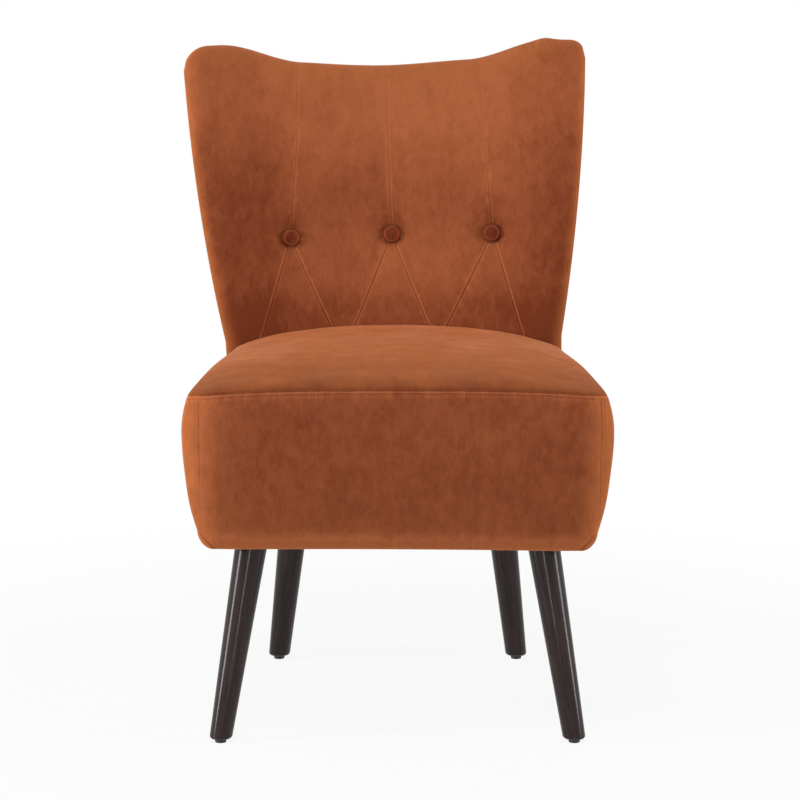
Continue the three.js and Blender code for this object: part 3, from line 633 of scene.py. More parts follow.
VELVET = Velvet("velvet")
BUTTON_VELVET = Velvet(
    "button_velvet",
    deep=linear(84, 31, 16),
    light=linear(140, 66, 38),
    pile_and_crease_shade=linear(56, 20, 11),
    painted_sheen=linear(176, 92, 52),
    painted_sheen_share=0.7,
    painted_rim_light_share=0.0,
    sheen_weight=0.06,
)
THREAD = Woven("thread", linear(190, 110, 68), linear(160, 88, 53), 0.0009)
LEG_WOOD = StainedWood("stained_wood")
FRAME_WOOD = SawnWood("frame_wood")
FOAM = Stuffing("foam", linear(232, 222, 194), linear(214, 200, 164), 700)
FELT = Stuffing("felt", linear(154, 148, 138), linear(112, 106, 98), 260)
DUST_CLOTH = Woven("dust_cloth", linear(40, 39, 38), linear(22, 21, 21), 0.0018)
WEBBING = Woven("webbing", linear(58, 62, 68), linear(34, 36, 40), 0.0014)
TWINE = Woven("twine", linear(196, 180, 148), linear(150, 132, 100), 0.0008)
ZINC = Steel("zinc_steel", linear(196, 198, 200), linear(160, 163, 166), 0.28)
SPRING_WIRE = Steel("spring_steel", linear(120, 122, 126), linear(84, 86, 90), 0.38)
GLIDE_NYLON = Nylon("glide_plastic")


class NodeFinish(Enum):
    """The finish of each kind of carried-over node, by the words its name ends with."""

    FRAME = (FRAME_WOOD, ("_rail", "_block", "_post"))
    SPRING = (SPRING_WIRE, ("_spring",))
    METAL = (ZINC, ("_clip", "_bolt", "_plate"))
    PAD = (FELT, ("insulator_pad",))
    FOAM = (FOAM, ("_foam", "_padding"))
    STRAP = (WEBBING, ("_strap",))
    TWINE = (TWINE, ("_twine",))
    LEG = (LEG_WOOD, ("_leg",))
    GLIDE = (GLIDE_NYLON, ("_glide",))
    CLOTH = (DUST_CLOTH, ("dust_cover",))
    COVER = (VELVET, ("_cover", "_button"))


def dress_nodes() -> None:
    """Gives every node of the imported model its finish."""
    for name, node in FRAME["nodes"].items():
        kind = next(kind for kind in NodeFinish if name.endswith(kind.value[1]))
        finish = kind.value[0]
        for place in node.material_slots:
            place.link = "OBJECT"
            place.material = finish.material()
    LOG.info("%d nodes dressed", len(FRAME["nodes"]))


# Sizes that the back and the seat share


UNDERSIDE = 0.2606  # height of the frame's underside
SEAT_DEPTH = 0.485  # from the front of the seat to the face of the back
DECK_HEIGHT = 0.372  # below it the frame runs from the seat into the back
COVER_CLOTH = 0.002
FOAM_WALL = 0.012
NEAR = 1e-6  # how close a share comes to 0 or 1 at an edge
FACING = 0.3  # the least part of a normal that makes a face look that way


# The back


Line = tuple[Pair, Pair]
Laid = tuple[Vector, float, float]  # a place, its painted shade and its painted light

# The marks of seams, pleats and buttons. Grooves, valleys, laps, rings and puckers are in metres;
# creases and shades are shares of painted shade, and lights and shines shares of painted highlight.
SEAM_GROOVE = Mark(0.0008, 0.0010)
SEAM_VALLEY = Mark(0.0010, 0.016)
SEAM_SHADES = (Mark(0.4, 0.0007), Mark(0.24, 0.0007, 0.0040))
SEAM_LIGHT = Mark(0.60, 0.0008, 0.0019)
PLEAT_GROOVE = Mark(0.0011, 0.0010)
PLEAT_VALLEY = Mark(0.0013, 0.013)
PLEAT_LAP = Mark(0.0007, 0.0014, 0.0026)
PLEAT_SHADE = Mark(0.40, 0.0007)
PLEAT_LIGHTS = (Mark(1.2, 0.0009, 0.0018), Mark(0.5, 0.0009, -0.0020))
BUTTON_RING = Mark(0.0007, 0.0014, 0.0130)
BUTTON_PUCKERS = Mark(0.0004, 0.0050, 0.0175)
BUTTON_SHADE = Mark(0.55, 0.012)
BUTTON_SHINE = Mark(1.1, 0.07, 0.80)
LINE_REACH = 0.05  # how far beside a seam or pleat it still shapes the cloth


@dataclass(frozen=True)
class Tuft:
    """A buttoned place, the seam that comes down to it and the two pleats that leave it."""

    side: str
    x: float
    seam: tuple[Pair, ...]
    pleats: Pair


@dataclass
class Back:
    """The stuffed back: its form, its covers, buttons, seams and pleats."""

    front: float  # the front of the seat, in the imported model
    seat_depth: float = SEAT_DEPTH
    underside: float = UNDERSIDE
    seat_line: float = 0.470
    crest_low: float = 0.842
    crest_high: float = 0.875
    saddle_bowl: float = 0.007
    saddle_bowl_end: float = 0.150
    saddle_start: float = 0.118
    saddle_end: float = 0.232
    top_width: float = 0.566
    seat_width: float = 0.472
    foot_width: float = 0.460
    corner_radius: float = 0.034
    roll: float = 0.030
    top_thickness: float = 0.062
    seat_thickness: float = 0.088
    foot_thickness: float = 0.098
    wing_top: float = 0.050
    wing_foot: float = 0.030
    lean_top: float = math.radians(15.5)
    lean_foot: float = math.radians(4)
    lean_blend: float = 0.110
    side_curve: float = 0.57
    saddle_power: float = 6
    straight_share: float = 0.52
    seam_angle: float = math.radians(-62)
    cloth: float = COVER_CLOTH
    hem_roll: float = 0.006
    hem_width: float = 0.048
    button_height: float = 0.6100
    button_diameter: float = 0.025
    button_lift: float = 0.0007
    button_belly: float = 0.0045
    button_dome: float = 0.0045
    row_depth: float = 0.004
    row_spread: float = 0.040
    tuft_depth: float = 0.008
    tuft_spread: float = 0.024
    pucker_count: int = 9
    pleat_drop: float = 0.155
    pleat_start: Pair = (0.05, 0.13)  # shares of its length over which a pleat sets in
    pleat_end: Pair = (1.1, 1.3)
    seam_fade: Pair = (0.02, 0.11)  # heights above the buttons between which the seams weaken
    seam_rest: float = 0.45
    tufts: tuple[Tuft, ...] = (
        Tuft("left", -0.1405, ((-0.1218, 0.905), (-0.1268, 0.745)), (-0.051, 0.0675)),
        Tuft("middle", 0.0018, ((0.0012, 0.905),), (-0.0705, 0.0594)),
        Tuft("right", 0.1438, ((0.1286, 0.905),), (-0.0850, 0.0425)),
    )
    lumps: Pair = (0.0016, 0.0007)  # broad and fine unevenness of the stuffing
    rear_panel: float = -1.5  # beyond this angle round the edge the rear panel is uneven too
    rear_lumps: float = 0.7  # but less, and not in the same places
    rear_shift: float = 3
    foam_depth: float = 0.0060
    foam_wall: float = FOAM_WALL
    deck_height: float = DECK_HEIGHT
    deck_width: float = 0.400
    opening_depth: float = 0.03
    fine_reach: float = 0.030  # how far round a button the cloth is finely divided
    fine_band: float = 0.0075  # and how far beside a seam or pleat
    lift: float = 0.021
    slant: float = 0.0335  # the back stands slightly out of true, as built
    slant_start: float = 0.300
    lift_heights: Pair = (0.33, 0.56)
    left_rise: float = 0.003
    left_rise_places: Pair = (0.05, 0.20)
    left_rise_heights: Pair = (0.72, 0.84)
    right_peak: Mark = Mark(0.0026, 0.014, 0.228)
    right_corner: float = 0.012
    right_corner_places: Pair = (0.250, 0.290)
    right_heights: Pair = (0.80, 0.86)
    seams: list[Line] = field(default_factory=list)
    pleats: list[Line] = field(default_factory=list)

    def __post_init__(self) -> None:
        """Works out the lines of the seams and pleats."""
        for tuft in self.tufts:
            button = (tuft.x, self.button_height)
            self.seams += zip(tuft.seam, (*tuft.seam[1:], button))
            foot = self.button_height - self.pleat_drop
            self.pleats += [(button, (tuft.x + reach, foot)) for reach in tuft.pleats]

    def lean(self, z: float) -> float:
        """Distance from the front of the seat to the face of the back, on the centreline."""
        above = z - self.seat_line
        bend = (above + math.hypot(above, self.lean_blend) - self.lean_blend) / 2
        foot = math.tan(self.lean_foot)
        return self.seat_depth + above * foot + bend * (math.tan(self.lean_top) - foot)

    def half_width(self, z: float) -> float:
        """Half the width at a height."""
        if z < self.seat_line:
            share = (z - self.underside) / (self.seat_line - self.underside)
            return mix(self.foot_width, self.seat_width, share) / 2
        corner = self.crest_high - self.corner_radius
        rise = min((z - self.seat_line) / (corner - self.seat_line), 1)
        spread = rise * (1 + self.side_curve * (1 - rise))
        return mix(self.seat_width, self.top_width, spread) / 2

    def thickness(self, z: float) -> float:
        """Thickness at a height."""
        if z < self.seat_line:
            share = (z - self.underside) / (self.seat_line - self.underside)
            return mix(self.foot_thickness, self.seat_thickness, share)
        share = (z - self.seat_line) / (self.crest_high - self.seat_line)
        return mix(self.seat_thickness, self.top_thickness, share)

    def face(self, x: float, z: float) -> float:
        """The face of the back, without tufts."""
        wing = mix(self.wing_foot, self.wing_top, ease(z, self.underside, self.seat_line))
        return self.lean(z) - wing * (x / self.half_width(z)) ** 2

    def crest(self, x: float, inset: float) -> float:
        """Height of the crest, drawn in by an inset."""
        out = abs(x)
        centre = self.top_width / 2 - self.corner_radius
        radius = self.corner_radius - inset
        over = min(max(out - centre, 0), radius)
        corner = self.crest_high - self.corner_radius + math.sqrt(max(radius**2 - over**2, 0))
        rise = self.crest_high - self.crest_low
        shoulder = (rise - self.saddle_bowl) * ease(out, self.saddle_start, self.saddle_end)
        return corner - rise + self.saddle_bowl * ease(out, 0, self.saddle_bowl_end) + shoulder

    def tuft(self, x: float, z: float) -> float:
        """How deep the buttons, and the row that they stand in, pull the face in."""
        up = z - self.button_height
        depth = self.row_depth * bell(up, self.row_spread)
        depth *= ease(self.half_width(z) - abs(x), 0, 0.1)
        for tuft in self.tufts:
            reach = math.hypot(x - tuft.x, up)
            if reach > 2 * LINE_REACH:
                continue
            puckers = math.cos(self.pucker_count * math.atan2(up, x - tuft.x) + tuft.x * 7)
            depth += self.tuft_depth * bell(reach, self.tuft_spread)
            depth += BUTTON_RING.at(reach) + puckers * BUTTON_PUCKERS.at(reach)
        return depth

    def lines(self, x: float, z: float) -> tuple[float, float, float]:
        """How the seams and pleats shape the face.

        Args:
            x: The place across.
            z: The height.

        Returns:
            The depth that they add, the painted shade beside them and the painted highlight beside
            them.
        """
        depth, crease, light = 0.0, 0.0, 0.0
        for start, end in self.seams:
            beside, share = to_segment((x, z), start, end)
            if abs(beside) < LINE_REACH and 0 <= share <= 1:
                near = mix(1, self.seam_rest, ease(z - self.button_height, *self.seam_fade))
                depth += near * SEAM_GROOVE.at(beside) + SEAM_VALLEY.at(beside)
                # Painted shade along the seams, and a painted highlight beside them.
                crease = max(crease, near * strongest(SEAM_SHADES, beside))
                light = max(light, SEAM_LIGHT.at(abs(beside)))
        for start, end in self.pleats:
            beside, share = to_segment((x, z), start, end)
            if abs(beside) < LINE_REACH and self.pleat_start[0] < share < self.pleat_end[1]:
                lap = beside if start[0] > end[0] else -beside
                fade = ease(share, *self.pleat_start) * (1 - ease(share, *self.pleat_end))
                depth += fade * (PLEAT_GROOVE.at(lap) + PLEAT_VALLEY.at(lap) - PLEAT_LAP.at(lap))
                # Painted shade along the pleats, and painted highlights beside their folds.
                crease = max(crease, fade * PLEAT_SHADE.at(lap))
                light = max(light, fade * strongest(PLEAT_LIGHTS, lap))
        return depth, crease, light

    def unevenness(self, x: float, z: float) -> float:
        """The gentle lumps of stuffing by hand."""
        broad, fine = Vector((x * 11, 3.7, z * 9)), Vector((x * 34, 9.1, z * 26))
        return rough(broad, fine, self.lumps)

    def chart(self, spot: Vector, depth: float = 0.0) -> Pair:
        """Where a point of the surface stands in elevation, before the back's slant.

        Args:
            spot: Share of the half width, share of the height, and angle round the rolled edge from
                the front face (90 degrees) to the rear face (-90 degrees).
            depth: Depth below the surface.

        Returns:
            The place across and the height.
        """
        across, up, angle = spot
        inset = depth + (self.roll - depth) * (1 - math.cos(angle))
        level = self.crest_low - inset
        drawn = math.copysign(inset * ease(abs(across), self.straight_share, 1), across)
        saddle = self.crest(across * self.top_width / 2 - drawn, inset) - level
        z = mix(self.underside + self.hem_roll, level, up) + saddle * up**self.saddle_power
        return across * self.half_width(z) - drawn, z

    def place(self, spot: Vector, hem: float = 0.0, depth: float = 0.0) -> Laid:
        """A point of the back's surface.

        Args:
            spot: As for chart.
            hem: How far round and under the bottom edge the point lies, in metres.
            depth: Depth below the surface.

        Returns:
            The place, the painted shade there and the painted light there.
        """
        angle = spot[2]
        x, z = self.chart(spot, depth)
        place_x, place_z = self.slanted(x, z)
        half = self.thickness(z) / 2
        crease, light = 0.0, 0.0
        y = self.face(place_x, place_z) + half - (half - depth) * math.sin(angle)
        if angle > 0:
            lines, crease, light = self.lines(x, z)
            y += (self.tuft(x, z) + lines + self.unevenness(x, z)) * math.sin(angle)
        elif angle < self.rear_panel:
            y += self.unevenness(x + self.rear_shift, z) * self.rear_lumps
        point = Vector((place_x, y, place_z))
        if hem > 0:
            bend = min(hem / self.hem_roll, math.pi / 2)
            inward = (Vector((0, self.face(0, z) + half, 0)) - Vector((x * 0.6, y, 0))).normalized()
            under = max(hem - self.hem_roll * math.pi / 2, 0) + self.hem_roll * (1 - math.cos(bend))
            point += Vector((inward.x * under, inward.y * under, -self.hem_roll * math.sin(bend)))
        return point + Vector((0, self.front, 0)), crease, light

    def slanted(self, x: float, z: float) -> Pair:
        """Sets a place on the back slightly out of true."""
        lift = x * self.lift * ease(z, *self.lift_heights)
        left = ease(-x, *self.left_rise_places) * ease(z, *self.left_rise_heights)
        right = self.right_peak.at(x) + self.right_corner * ease(x, *self.right_corner_places)
        rise = lift + self.left_rise * left + right * ease(z, *self.right_heights)
        return x - self.slant * max(z - self.slant_start, 0), z + rise

    def lay(self, shape: Shape, spot: Layer) -> None:
        """Puts every point of a net at its place and gives it its painted shade and painted light.
        """
        crease, pile_and_painted_light = shade_layers(shape)
        hem = shape.verts.layers.float.get("hem")
        for point in shape.verts:
            point.co, point[crease], light = self.place(point[spot], point[hem] if hem else 0.0)
            x, z = self.chart(point[spot])
            # Painted light: the rear panel lighter higher up; on the face, the back's painted light
            # and shade and the painted highlights beside seams and pleats.
            plain = mix(0.30, 0.70, ease(z, 0.30, 0.85))
            point[pile_and_painted_light] = mix(plain, self.pile_and_painted_light(x, z), ease(point[spot].z, -0.3, 0.9)) + light

    def pile_and_painted_light(self, x: float, z: float) -> float:
        """Painted light and shade on the back: lighter high up, in a patch low in the middle and
        right of the middle button; darker on both wings, at the foot and round the buttons.
        """
        plain = mix(0.25, 0.80, ease(z, 0.66, 0.80))
        # A patch of painted light low in the middle.
        painted_light_band = 0.44 * bell(z - 0.560, 0.045) * bell(x - 0.03, 0.11)
        right_panel = 0.12 * ease(x - self.tufts[1].x, -0.003, 0.003) * ease(z, 0.55, 0.64)
        left_wing = ease(self.tufts[0].x + 0.010 - x, 0, 0.045) * (1 - 0.6 * ease(z, 0.72, 0.84))
        right_wing = ease(x, 0.15, 0.24)
        foot = ease(0.558 - z, 0, 0.05) * (1 - 0.5 * bell(x - 0.03, 0.06))
        above = z - self.button_height - 0.014
        above *= 0.45 if above > 0 else 1
        buttons = sum(
            BUTTON_SHADE.at(math.hypot(x - tuft.x - 0.003, above)) for tuft in self.tufts
        )
        shaded = 0.40 * left_wing + 0.50 * right_wing + 0.40 * foot + buttons
        return plain + painted_light_band + right_panel - shaded

    def near_line(self, point: Point, spot: Layer) -> bool:
        """Whether a point of the face lies beside a seam or pleat, or round a button."""
        x, z = self.chart(point[spot])
        up = z - self.button_height
        if any(math.hypot(x - tuft.x, up) < self.fine_reach for tuft in self.tufts):
            return True
        for start, end in self.seams + self.pleats:
            beside, share = to_segment((x, z), start, end)
            if abs(beside) < self.fine_band and -0.02 < share < 1.02:
                return True
        return False

    def wrapped(
        self,
        columns: Sequence[float],
        rows: Sequence[float],
        angles: Sequence[float],
        cuts: int = 0,
    ) -> tuple[Shape, Layer]:
        """A net over a face of the back, carried on round its rolled sides and crest.

        Args:
            columns: Shares of the half width.
            rows: Shares of the height.
            angles: Angles round the rolled edge, that of the face first.
            cuts: How finely the net is divided beside the seams and pleats.

        Returns:
            The mesh and the layer that holds each point's place in the chart.
        """
        shape, spot = net(columns, rows)
        for point in shape.verts:
            point[spot] = (*point[spot].xy, angles[0])
        if cuts:
            refine(shape, lambda point: self.near_line(point, spot), cuts)
        rim = {v for v in shape.verts if max(abs(v[spot].x), v[spot].y) > 1 - NEAR}
        edges = [
            edge
            for edge in shape.edges
            if edge.is_boundary
            and rim.issuperset(edge.verts)
            and any(point[spot].y >= NEAR for point in edge.verts)
        ]
        for angle in angles[1:]:

            def turn(point: Point, angle: float = angle) -> None:
                """Moves a point on round the rolled edge."""
                point[spot] = (*point[spot].xy, angle)

            edges = extruded(shape, edges, turn)
        return shape, spot

    def inside(self) -> Piece:
        """The inside cover, from its lower edge over the face and round the rolled edges."""
        columns = mirrored(graded([0, 0.88, 1], [0.024, 0.012]))
        rows = graded([0, 0.34, 1], [0.02, 0.011])
        angles = graded([math.pi / 2, self.seam_angle], [math.radians(9)])
        shape, spot = self.wrapped(columns, rows, angles, 4)
        self.add_hem(shape, spot)
        self.lay(shape, spot)
        face_out(shape)
        self.open_front(shape)
        piece = new_piece("inside_back_velvet", shape, VELVET)
        thicken(piece, self.cloth)
        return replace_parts(piece, "inside_back_cover")

    def open_front(self, shape: Shape) -> None:
        """Leaves out the face below the deck, where the seat's frame runs through."""

        def hidden(centre: Vector, normal: Vector) -> bool:
            """Whether a face lies in the frame's way."""
            behind = self.front + self.face(centre.x, centre.z) + self.opening_depth
            low = centre.z < self.deck_height and abs(centre.x) < self.deck_width / 2
            return low and centre.y < behind and normal.y < -FACING

        leave_out(shape, hidden)

    def add_hem(self, shape: Shape, spot: Layer) -> None:
        """Turns a cover's lower edge under the frame."""
        hem = shape.verts.layers.float.new("hem")
        edges = [e for e in shape.edges if e.is_boundary and all(v[spot].y < NEAR for v in e.verts)]
        turn, width = self.hem_roll * math.pi / 2, self.hem_width
        for reach in [turn / 3, turn * 2 / 3, turn, turn + width / 2, turn + width]:

            def under(point: Point, reach: float = reach) -> None:
                """Moves a point on round the lower edge."""
                point[hem] = reach

            edges = extruded(shape, edges, under)

    def outside(self) -> Piece:
        """The outside cover: the rear panel and the edge that is sewn to the inside cover."""
        columns = mirrored(graded([0, 0.9, 1], [0.03, 0.012]))
        rows = graded([0, 0.94, 1], [0.025, 0.010])
        joint = self.seam_angle - math.radians(1.5)
        angles = graded([-math.pi / 2, joint], [math.radians(7)])
        shape, spot = self.wrapped(columns, rows, angles)
        self.add_hem(shape, spot)
        self.lay(shape, spot)
        face_out(shape)
        piece = new_piece("outside_back_velvet", shape, VELVET)
        thicken(piece, self.cloth)
        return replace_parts(piece, "outside_back_cover")

    def button(self, tuft: Tuft) -> Piece:
        """A covered button, drawn down into its tuft."""
        x, z = self.slanted(tuft.x, self.button_height)
        step = self.button_diameter
        across = (self.face(x + step, z) - self.face(x - step, z)) / (2 * step)
        up = (self.face(x, z + step) - self.face(x, z - step)) / (2 * step)
        normal = Vector((across, -1, up)).normalized()
        radius = self.button_diameter / 2
        belly = self.button_belly
        rim = [(0, 0), (radius * 0.6, 0), (radius * 0.92, belly * 0.45), (radius, belly)]
        dome = [
            (radius * math.cos(turn), belly + self.button_dome * math.sin(turn))
            for turn in graded([0, math.pi / 2], [math.radians(9)])[1:-1]
        ]
        shape = lathe(rounded(rim, 0.0012) + dome + [(0, belly + self.button_dome)], 48)
        crease, pile_and_painted_light = shade_layers(shape)
        for point in shape.verts:
            out = math.hypot(point.co.x, point.co.y) / radius
            # Painted shade round the button's rim, and a ring of painted highlight near its rim.
            point[crease] = 0.8 * ease(out, 0.86, 0.98)
            point[pile_and_painted_light] = BUTTON_SHINE.at(out)
        pull = self.tuft_depth + self.row_depth
        foot = Vector((x, self.front + self.face(x, z) + pull, z)) + normal * self.button_lift
        aim = UP.rotation_difference(normal).to_matrix().to_4x4()
        shape.transform(Matrix.Translation(foot) @ aim)
        piece = new_piece(f"{tuft.side}_covered_button", shape, BUTTON_VELVET)
        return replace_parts(piece, f"{tuft.side}_button")

    def stuffing(self) -> Piece:
        """The foam under the inside cover, wrapped over the frame."""
        columns = mirrored(graded([0, 0.88, 1], [0.04, 0.03]))
        rows = graded([0, 0.95, 1], [0.03, 0.02])
        angles = graded([math.pi / 2, self.seam_angle], [math.radians(14)])
        shape, spot = self.wrapped(columns, rows, angles)
        for point in shape.verts:
            point.co = self.place(point[spot], 0, self.foam_depth)[0]
        face_out(shape)
        self.open_front(shape)
        piece = new_piece("back_stuffing", shape, FOAM)
        thicken(piece, self.foam_wall)
        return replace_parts(piece, "back_foam")

    def build(self) -> None:
        """Makes the back's pieces."""
        self.stuffing()
        self.inside()
        self.outside()
        for tuft in self.tufts:
            self.button(tuft)


# The seat


STITCH_DROP = 0.0058  # how far the topstitching lies below the seam
# Creases and lights are shares of painted shade and painted highlight; the rest are in metres.
PANEL_EDGE = Mark(0.0014, 0.0014)
PANEL_SHADE = Mark(0.35, 0.0010)
JOIN_GROOVE = Mark(0.0013, 0.0012)
JOIN_SHADE = Mark(0.4, 0.0009)
JOIN_LIGHT = Mark(0.75, 0.0010, 0.0022)
JOIN_PUCKERS = Mark(0.0013, 0.0055, 0.0060)
PUCKER_LIGHT = Mark(0.45, 0.0060, 0.0070)
STITCH_GROOVE = Mark(0.0006, 0.0011, STITCH_DROP)
STITCH_SHADE = Mark(0.2, 0.0009, STITCH_DROP)
STITCH_LIGHT = Mark(0.35, 0.0008, STITCH_DROP + 0.0016)
CORNER_GROOVES = (Mark(0.0008, 0.0010), Mark(0.0004, 0.0010, 0.0042))
CORNER_SHADES = (Mark(0.45, 0.0008), Mark(0.2, 0.0008, 0.0042))
CORNER_LIGHT = Mark(0.5, 0.0008, -0.0018)
DART_GROOVE = Mark(0.0006, 0.0018)
DART_SHADE = Mark(0.7, 0.0013)
ROLL_FOLDS = 0.0014  # the depth of the folds in the roll at the bottom


@dataclass
class Seat:
    """The stuffed seat: a crowned top panel sewn to a border that rolls under the frame."""

    front: float
    back: Back
    width: float = 0.567
    rear_width: float = 0.478
    side_bow: float = 0.003
    depth: float = SEAT_DEPTH
    underside: float = UNDERSIDE
    seam_height: float = 0.461
    widest_height: float = 0.410
    seam_draw: float = 0.009
    foot_draw: float = 0.018
    foot_radius: float = 0.024
    wall_power: float = 1.7
    corner_radius: float = 0.034  # where the sides start to taper, in plan
    full_corner_radius: float = 0.058
    seam_corner_radius: float = 0.048
    least_corner_radius: float = 0.0003
    front_swell: float = 0.005
    lip_width: float = 0.022
    front_bow: float = 0.015
    crown_rise: float = 0.027
    rear_fall: float = 0.005
    crown_roll: float = 0.060
    crown_power: float = 2.6
    roll_follow: float = 0.8
    rear_tuck: float = 0.019
    rear_lap: float = 0.006
    back_gap: float = 0.0005
    side_tuck: float = 0.003
    tuck_start: float = 0.035  # how far above the roll the sides start to tuck in
    side_sag: float = 0.0035
    right_sag: float = 0.0015
    deck_height: float = DECK_HEIGHT
    lumps: Pair = (0.0015, 0.0006)
    left_light: Pair = (0.195, 0.262)  # where painted light lightens the border towards the left side
    right_light: Pair = (0.230, 0.265)
    foam_depth: float = 0.0045
    foam_wall: float = FOAM_WALL
    cloth: float = COVER_CLOTH
    corner_seam_x: float = 0.257
    right_corner_seam_x: float = 0.263
    corner_seam_heights: Pair = (0.290, 0.360)  # where the corner seams fade out
    dart_height: float = 0.279
    dart_x: float = 0.2535
    dart_fade: float = 0.008
    stitch_length: float = 0.0040
    stitch_gap: float = 0.0008
    stitch_thread: float = 0.0008
    roll_in: float = 0.021  # how far in from its edge the top panel is finely divided
    opening_depth: float = 0.06
    opening_inset: float = 0.034
    opening_side: float = 0.05  # only this near its sides the opening keeps the lip underneath

    @property
    def upper(self) -> float:
        """Height of the wall above its widest place."""
        return self.seam_height - self.widest_height

    @property
    def straight(self) -> float:
        """Height of the wall, from the seam to the roll at the bottom."""
        return self.seam_height - self.underside - self.foot_radius

    @property
    def quarter(self) -> float:
        """Distance round the roll at the bottom."""
        return self.foot_radius * math.pi / 2

    def half_width(self, y: float) -> float:
        """Half the width in plan at a distance behind the front."""
        rear_corner = self.depth - self.back.wing_top
        share = max(y - self.corner_radius, 0) / (rear_corner - self.corner_radius)
        bow = self.side_bow * max(4 * share * (1 - share), 0)
        return mix(self.width, self.rear_width, share) / 2 + bow

    def rear(self, x: float, z: float) -> float:
        """The rear limit: the face of the back, and part of the way round its rolled edge."""
        width = self.back.half_width(z)
        half = self.back.thickness(z) / 2
        turn = min(max((abs(x) - width + self.back.roll) / self.back.roll, 0), 1)
        crease = half * (1 - math.sqrt(1 - (turn * self.roll_follow) ** 2))
        return self.back.face(min(max(x, -width), width), z) + crease - self.back_gap

    def corner(self, height: float, inset: float) -> float:
        """Radius of the front corners in plan, fullest at the widest height."""
        if height > self.widest_height:
            share = (height - self.widest_height) / self.upper
            return mix(self.full_corner_radius, self.seam_corner_radius, min(share, 1))
        drawn = inset / (self.foot_draw + self.foot_radius)
        return max(self.full_corner_radius * (1 - drawn), self.least_corner_radius)

    def place(
        self,
        across: float,
        along: float,
        height: float,
        draw: float,
        lip: float = 0.0,
        depth: float = 0.0,
    ) -> Vector:
        """A point of the seat's outline.

        Args:
            across: Share of the half width.
            along: Share of the depth.
            height: Height above the floor.
            draw: How far the outline is drawn in.
            lip: How far it is turned under.
            depth: Depth below the surface.

        Returns:
            The place.
        """
        inset = draw + lip + depth
        half = self.width / 2 - inset
        radius = self.corner(height, inset)
        over = max(abs(across * half) - (half - radius), 0)
        front = inset + radius - math.sqrt(max(radius**2 - over**2, 0))
        front -= self.front_swell * (1 - across**2)
        rear = self.rear(across * (self.rear_width / 2 - inset), height) - depth
        rear -= max(lip - self.rear_tuck, 0)
        rear += self.rear_lap * ease(draw, self.foot_draw, self.foot_draw + self.foot_radius)
        y = mix(front, rear, along)
        return Vector((across * (self.half_width(y) - inset), y + self.front, height))

    def crown(self, across: float, along: float) -> float:
        """Height of the top panel."""
        square = math.sqrt(max(1 - abs(across) ** self.crown_power, 0))
        roll = 1 - min((along * self.depth) / self.crown_roll, 1)
        rise = self.front_bow + (self.crown_rise - self.front_bow) * math.sqrt(1 - roll**2)
        fall = mix(self.rear_fall / 5, self.rear_fall, across**2) * ease(along, 0.5, 1)
        return self.seam_height + square * rise - fall

    def lifted(self, across: float, along: float, drop: float) -> float:
        """How far the crown lifts the wall at a distance below the seam."""
        return (self.crown(across, along) - self.seam_height) * (1 - ease(drop, 0, self.upper))

    def unevenness(self, point: Vector) -> float:
        """The gentle lumps of the stuffing."""
        return rough(point * 10, point * 31, self.lumps)

    def top(self) -> Piece:
        """The top panel, with its edge turned down into the seam."""
        edge = [0, 0.0006, 0.0014, 0.0024, 0.004, 0.0065, 0.010, 0.015, self.roll_in]
        half = self.width / 2
        columns = graded([0, 1 - self.roll_in / half], [0.0045 / half])
        columns = mirrored(columns + [1 - e / half for e in reversed(edge[:-1])])
        rows = [e / self.depth for e in edge]
        rows += graded([self.roll_in / self.depth, 0.98, 1], [0.0095, 0.005])[1:]
        shape, spot = net(columns, rows)
        crease, pile_and_painted_light = shade_layers(shape)
        for point in shape.verts:
            across, along, _ = point[spot]
            place = self.place(across, along, self.crown(across, along), self.seam_draw)
            side = (1 - abs(across)) * half
            near = min(side, along * self.depth)
            place.z += self.unevenness(place) * ease(near, 0, 0.03) - PANEL_EDGE.at(near)
            # Painted shade over the front part of the top, in random patches, and along its edge;
            # painted light towards the rear.
            patch = rough(Vector((place.x * 15, place.y * 7, 4.0)), place * 36, (1, 0.6))
            painted_front_shade = (0.34 + 0.34 * patch) * (1 - ease(along + 0.15 * patch, 0.05, 0.62))
            point[crease] = min(max(PANEL_SHADE.at(near), painted_front_shade, 0.0), 1.0)
            point[pile_and_painted_light] = 0.10 + 0.45 * ease(along, 0.15, 0.75) + 0.3 * patch
            point.co = place
        self.tuck_in(shape, [e for e in shape.edges if e.is_boundary], 0.003, -0.0035)
        face_out(shape)
        piece = new_piece("seat_top_velvet", shape, VELVET)
        thicken(piece, self.cloth)
        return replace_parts(piece, "seat_cover")

    def tuck_in(self, shape: Shape, edges: Sequence[Edge], inward: float, rise: float) -> None:
        """Turns a panel's edge in at the seam, towards the middle of the seat.

        Args:
            shape: The panel.
            edges: Its edges along the seam.
            inward: How far the edge is turned in.
            rise: How far it rises on the way.
        """
        middle = Vector((0, self.front + self.depth / 2, 0))

        def tuck(point: Point) -> None:
            """Moves one point of the edge in."""
            point.co += Vector((*((middle - point.co).xy.normalized() * inward), rise))

        extruded(shape, edges, tuck)

    def outline(self) -> list[tuple[float, float, float]]:
        """The seam's places, all the way round.

        Returns:
            Share of the half width, share of the depth, and distance run along the outline.
        """
        half = self.width / 2
        steps = [0.0024 / half, 0.0013 / half, 0.0006 / half]
        columns = mirrored(graded([0, 0.86, 0.95, 1], steps))
        rows = graded([0, 0.97, 1], [0.0055, 0.004])
        rear = mirrored(graded([0, 1], [0.06]))
        around = [(-1.0, along) for along in reversed(rows[1:])]
        around += [(across, 0.0) for across in columns]
        around += [(1.0, along) for along in rows[1:]]
        around += [(across, 1.0) for across in reversed(rear[1:-1])]
        around.append(around[0])
        run, places, last = 0.0, [], None
        for across, along in around:
            point = self.place(across, along, self.widest_height, 0)
            run += (point - last).length if last else 0.0
            places.append((across, along, run))
            last = point
        return places

